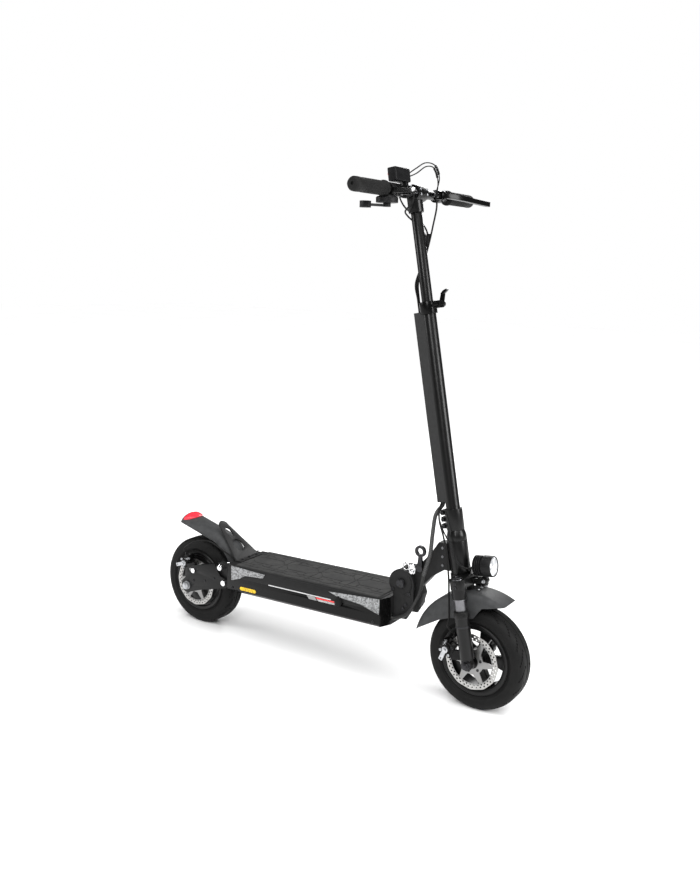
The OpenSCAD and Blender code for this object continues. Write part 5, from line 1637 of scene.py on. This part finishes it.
@dataclass
class Cables(SubAssembly):
    """Leads, sleeved harness and brake cables, near the routes of the CAD solids. Sizes in mm."""
    lead_r: float = 2.2
    sleeve_r: float = 5.2
    pipe_r: float = 4.3
    duct_w: float = 26.0
    bar: float = BAR_HEIGHT
    stem_top: float = STEM_TOP

    def span(self, name: str, points: Sequence[Point], radius: float, finish: Finish, node: str, first: str,
             second: str, start: Vector, end: Vector) -> None:
        """Adds a cable in place, with its finish, and hides the CAD node that it stands for.

        Args:
            name: the piece's name.
            points: places in metres.
            radius: in mm.
            finish: its finish.
            node: the CAD node that it stands for.
            first, second: the bodies meant to hold its ends; not used.
            start, end: where it would leave the first and reach the second; not used.
        """
        piece = cable(name, points, radius, 12, 8)
        piece.data.materials.append(finish.get())
        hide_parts(node)
        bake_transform(piece)
        self.made.append(name)

    def leads(self) -> None:
        """Brake cables and leads, bunched at the rider's left of the mast, and the loops of the display."""
        routes = (((30, 53, 0), (37, 40, -34), (25, 31, -80), (8, 28, -125), (-10, 22, -170), (-24, 9,
                                                                                               -215)),
                  ((30, -53, 0), (16, -42, -26), (-14, -28, -40), (-23, -4, -50), (-17, 19, -68), (0, 30,
                                                                                                   -100),
                   (-2, 25, -150), (-24, 5, -212)),
                  ((-2, -45, 30), (-22, -34, 2), (-27, -10, -24), (-20, 17, -46), (2, 35, -86), (2, 31,
                                                                                                 -128),
                   (-16, 20, -175), (-27, 0, -218)))
        start, end = STEER.at(-30, 0, self.bar - 20), STEER.at(-30, 0, self.stem_top + 30)
        for i, route in enumerate(routes):
            points = [STEER.at(w, y, self.bar + s) for w, y, s in route]
            points += [STEER.at(-self.duct_w - 0.5, route[-1][1] * 0.8, self.stem_top + s) for s in (34,
                                                                                                     -3)]
            self.span(f"bar_lead_{i}", points, self.lead_r, Finish.HOSE, "bar_cables", "mast", "fork",
                      start, end)
        tie = [STEER.at(w, y, self.bar + s) for w, y, s in ((11, 29.5, -98), (7, 29.5, -110), (3, 28.5,
                                                                                               -124))]
        self.dress(cable("lead_tie", tie, 5.6, 12, 3), Finish.PLASTIC, "mast", "plastic")
        loops = (((4, -52, 42), (8, -22, 58), (16, 10, 74), (24, 44, 70), (28, 60, 42), (26, 50, 6)),
                 ((8, -52, 36), (14, -28, 46), (22, 2, 64), (30, 28, 62), (32, 46, 32), (30, 46, -8)))
        for i, loop in enumerate(loops):
            points = [BAR + Vector(p) * MM for p in loop]
            self.dress(cable(f"display_lead_{i}", points, 1.5, 8), Finish.HOSE, "mast", "rubber")
            sleeve = cable(f"connector_{i}", smooth_path(points, 8)[24:32:2], 3.2, 10, 3)
            self.dress(sleeve, Finish.PLASTIC, "mast", "plastic")

    def harness(self) -> None:
        """Bundle from the duct to the neck in a spiral sleeve, then past the hinge into the nose in a
        pipe."""
        nose = Vector((DECK.at(254, 0, 0).x + 0.009, -0.042, DECK.at(254, 0, 0).z - 0.061))
        top = [STEER.at(w, y, s) for w, y, s in ((-24.7, 0, 516.48), (-28, -1, 503.48), (-47, -8, 480.48),
                                                 (-56, -20, 434.48), (-64, -32, 384.48))]
        low = [HINGE + Vector(p) * MM for p in ((70, -44, 38), (61, -47, -12), (30, -46, -68))]
        path = smooth_path(top + low + [nose + Vector(p) * MM for p in ((16, 0, 0.6), (6, 0, 0.2), (0, 0,
                                                                                                    0))], 8)
        knee = 8 * 5
        self.span("harness_sleeve", path[:knee + 1:2], self.sleeve_r, Finish.SLEEVE, "main_harness",
                  "neck", "fork",
                  STEER.at(-60, -28, 404), STEER.at(-30, 0, 500))
        self.span("harness_pipe", path[knee - 1::2] + path[-1:], self.pipe_r, Finish.PIPE, "main_harness",
                  "deck",
                  "neck", HINGE + Vector((20, 0, -66)) * MM, HINGE + Vector((64, 0, 14)) * MM)
        lamp = [STEER.at(w, y, s) for w, y, s in ((-26, -9, 507), (-31, -22, 488), (-18, -36, 455), (-2,
                                                                                                     -38, 415),
                                                  (10, -38, 372), (30, -28, 352), (42.5, -5, 350))]
        self.dress(cable("lamp_lead", lamp, 1.9, 10), Finish.HOSE, "fork", "rubber")

    def brakes(self) -> None:
        """Front and rear brake cables."""
        stop = FRONT_HUB + Vector((-46, -54, 54)) * MM
        points = [STEER.at(w, y, s) for w, y, s in ((-21, -8, 516.48), (-28, -16, 500), (-24, -34, 472),
                                                    (-12, -44, 430), (-8, -48, 380), (-8, -52, 330),
                                                    (-10, -58, 290), (-12, -66, 240))]
        points += [FRONT_HUB + Vector((-52, -74, 86)) * MM]
        points += [stop + Vector((3, -2, 10)) * MM, stop]
        self.span("front_brake_line", points, 2.3, Finish.HOSE, "front_brake_cable", "fork", "fork_lowers",
                  STEER.at(0, 0, 400), STEER.at(0, 0, 230))
        end = REAR_HUB + Vector((-30, -58, 93)) * MM
        rear = DECK.at(-254, 0, 0)
        points = [rear + Vector((-5, -42, -5)) * MM, rear + Vector((-18, -42, 6)) * MM]
        points += [REAR_HUB + Vector(p) * MM for p in ((108, -45, 118), (60, -52, 138), (14, -58, 130))]
        points += [end + Vector((1, 0, 10)) * MM, end]
        self.span("rear_brake_line", points, 2.3, Finish.HOSE, "rear_brake_cable", "deck", "swing_arm",
                  rear + Vector((-30, 0, 0)) * MM, REAR_HUB + Vector((10, 0, 90)) * MM)

    def build(self) -> None:
        """Builds the cables."""
        self.leads()
        self.harness()
        self.brakes()


# ---------------------------------------------------------------- studio

@dataclass
class Studio:
    """Floor, lights and camera."""
    eye: tuple[float, float, float] = (1.3703, -1.9805, 1.0790)
    turn: float = 33.72
    down: float = 7.16
    roll: float = 1.59
    focal: float = 914.3
    tall: float = 877.0
    rise: float = -0.0683
    ambient: float = 0.12
    sun: float = 3.3

    def camera(self) -> None:
        """Adds the camera."""
        data = bpy.data.cameras.new("camera")
        data.sensor_fit = "VERTICAL"
        data.sensor_height = 24.0
        data.lens = self.focal / self.tall * 24.0
        data.shift_y = self.rise
        data.clip_end = 50
        camera = bpy.data.objects.new("camera", data)
        bpy.context.scene.collection.objects.link(camera)
        turn, down, roll = (math.radians(v) for v in (self.turn, self.down, self.roll))
        ahead = Vector((-math.sin(turn) * math.cos(down), math.cos(turn) * math.cos(down), -math.sin(down)))
        right = Vector((math.cos(turn), math.sin(turn), 0))
        up = right.cross(ahead)
        level = right * math.cos(roll) + up * math.sin(roll)
        above = -right * math.sin(roll) + up * math.cos(roll)
        camera.matrix_world = Matrix.Translation(self.eye) @ Matrix((level, above,
                                                                     -ahead)).transposed().to_4x4()
        bpy.context.scene.camera = camera

    def lamp(self, name: str, at: Point, aim: Point, size: float, power: float) -> None:
        """Args: name, at and aim in metres, size of the soft box in metres, power in watts."""
        data = bpy.data.lights.new(name, "AREA")
        data.shape = "RECTANGLE"
        data.size, data.size_y = size, size * 0.8
        data.energy = power
        light = bpy.data.objects.new(name, data)
        bpy.context.scene.collection.objects.link(light)
        light.matrix_world = Matrix.Translation(at) @ (Vector(aim) - Vector(at)).to_track_quat("-Z", "Y") \
            .to_matrix().to_4x4()

    def floor(self) -> None:
        """Adds the pale floor."""
        deselect()
        bpy.ops.mesh.primitive_plane_add(size=30)
        ground = bpy.context.object
        ground.name = ground.data.name = "floor"
        paint = Paint("pale_floor")
        haze = paint.noise(0.6, 3)
        tone = paint.blend(haze, grey(0.95), grey(0.99))
        ground.data.materials.append(paint.set(Base_Color=tone, Roughness=0.75 + haze * 0.1))

    def sky(self) -> None:
        """Lights the parts a little from all sides, under a sun that fills the floor evenly."""
        world = bpy.data.worlds.new("studio")
        world.use_nodes = True
        tree = world.node_tree
        shown = tree.nodes["Background"]
        shown.inputs[0].default_value = (1, 1, 1, 1)
        soft = tree.nodes.new("ShaderNodeBackground")
        soft.inputs[0].default_value = (1, 1, 1, 1)
        soft.inputs[1].default_value = self.ambient
        mix = tree.nodes.new("ShaderNodeMixShader")
        path = tree.nodes.new("ShaderNodeLightPath")
        tree.links.new(path.outputs["Is Camera Ray"], mix.inputs[0])
        tree.links.new(soft.outputs[0], mix.inputs[1])
        tree.links.new(shown.outputs[0], mix.inputs[2])
        tree.links.new(mix.outputs[0], tree.nodes["World Output"].inputs[0])
        bpy.context.scene.world = world
        bpy.context.scene.view_settings.view_transform = "Standard"
        data = bpy.data.lights.new("sun", "SUN")
        data.energy, data.angle = self.sun, math.radians(70)
        light = bpy.data.objects.new("sun", data)
        bpy.context.scene.collection.objects.link(light)
        light.matrix_world = Vector((0.25, -0.3, 1)).to_track_quat("Z", "Y").to_matrix().to_4x4()

    def build(self) -> None:
        """Builds the studio."""
        self.sky()
        self.floor()
        self.lamp("key", (3.4, 0.2, 1.7), (0.2, 0, 0.6), 1.5, 75)
        self.lamp("front", (1.2, -3.2, 2.4), (0, 0, 0.4), 1.0, 45)
        self.lamp("side", (-2.8, -1.8, 1.6), (0, 0, 0.5), 1.0, 30)
        self.lamp("back", (-0.8, 2.8, 2.0), (0, 0, 0.7), 1.4, 45)
        self.camera()


def rest_of_nodes() -> None:
    """Gives any CAD node that still shows its imported material the black plastic finish."""
    for name, node in frame["nodes"].items():
        if not any(m and m.node_tree and len(m.node_tree.nodes) > 4 for m in node.data.materials):
            node.data.materials.clear()
            node.data.materials.append(Finish.PLASTIC.get())


def main() -> None:
    """Builds the scooter in order and reports its pieces."""
    logging.basicConfig(level=logging.INFO, format="%(name)s: %(message)s")
    Studio().build()
    parts: list[SubAssembly] = [
        Deck(), Fold(), RearEnd(),
        Tyre(node="rear_tyre", body="rear_wheel", hub=REAR_HUB),
        Tyre(node="front_tyre", body="front_wheel", hub=FRONT_HUB),
        FrontEnd(), Stem(), Cockpit(), Cables()]
    for part in parts:
        part.build()
        LOG.info("%s: %d pieces", type(part).__name__, len(part.made))
        for name in part.made:
            LOG.info("  %s", name)
    RearEnd().caliper("front", FRONT_HUB, 157.0, "fork_lowers")
    rest_of_nodes()
    deselect()


if __name__ == "__main__":
    main()
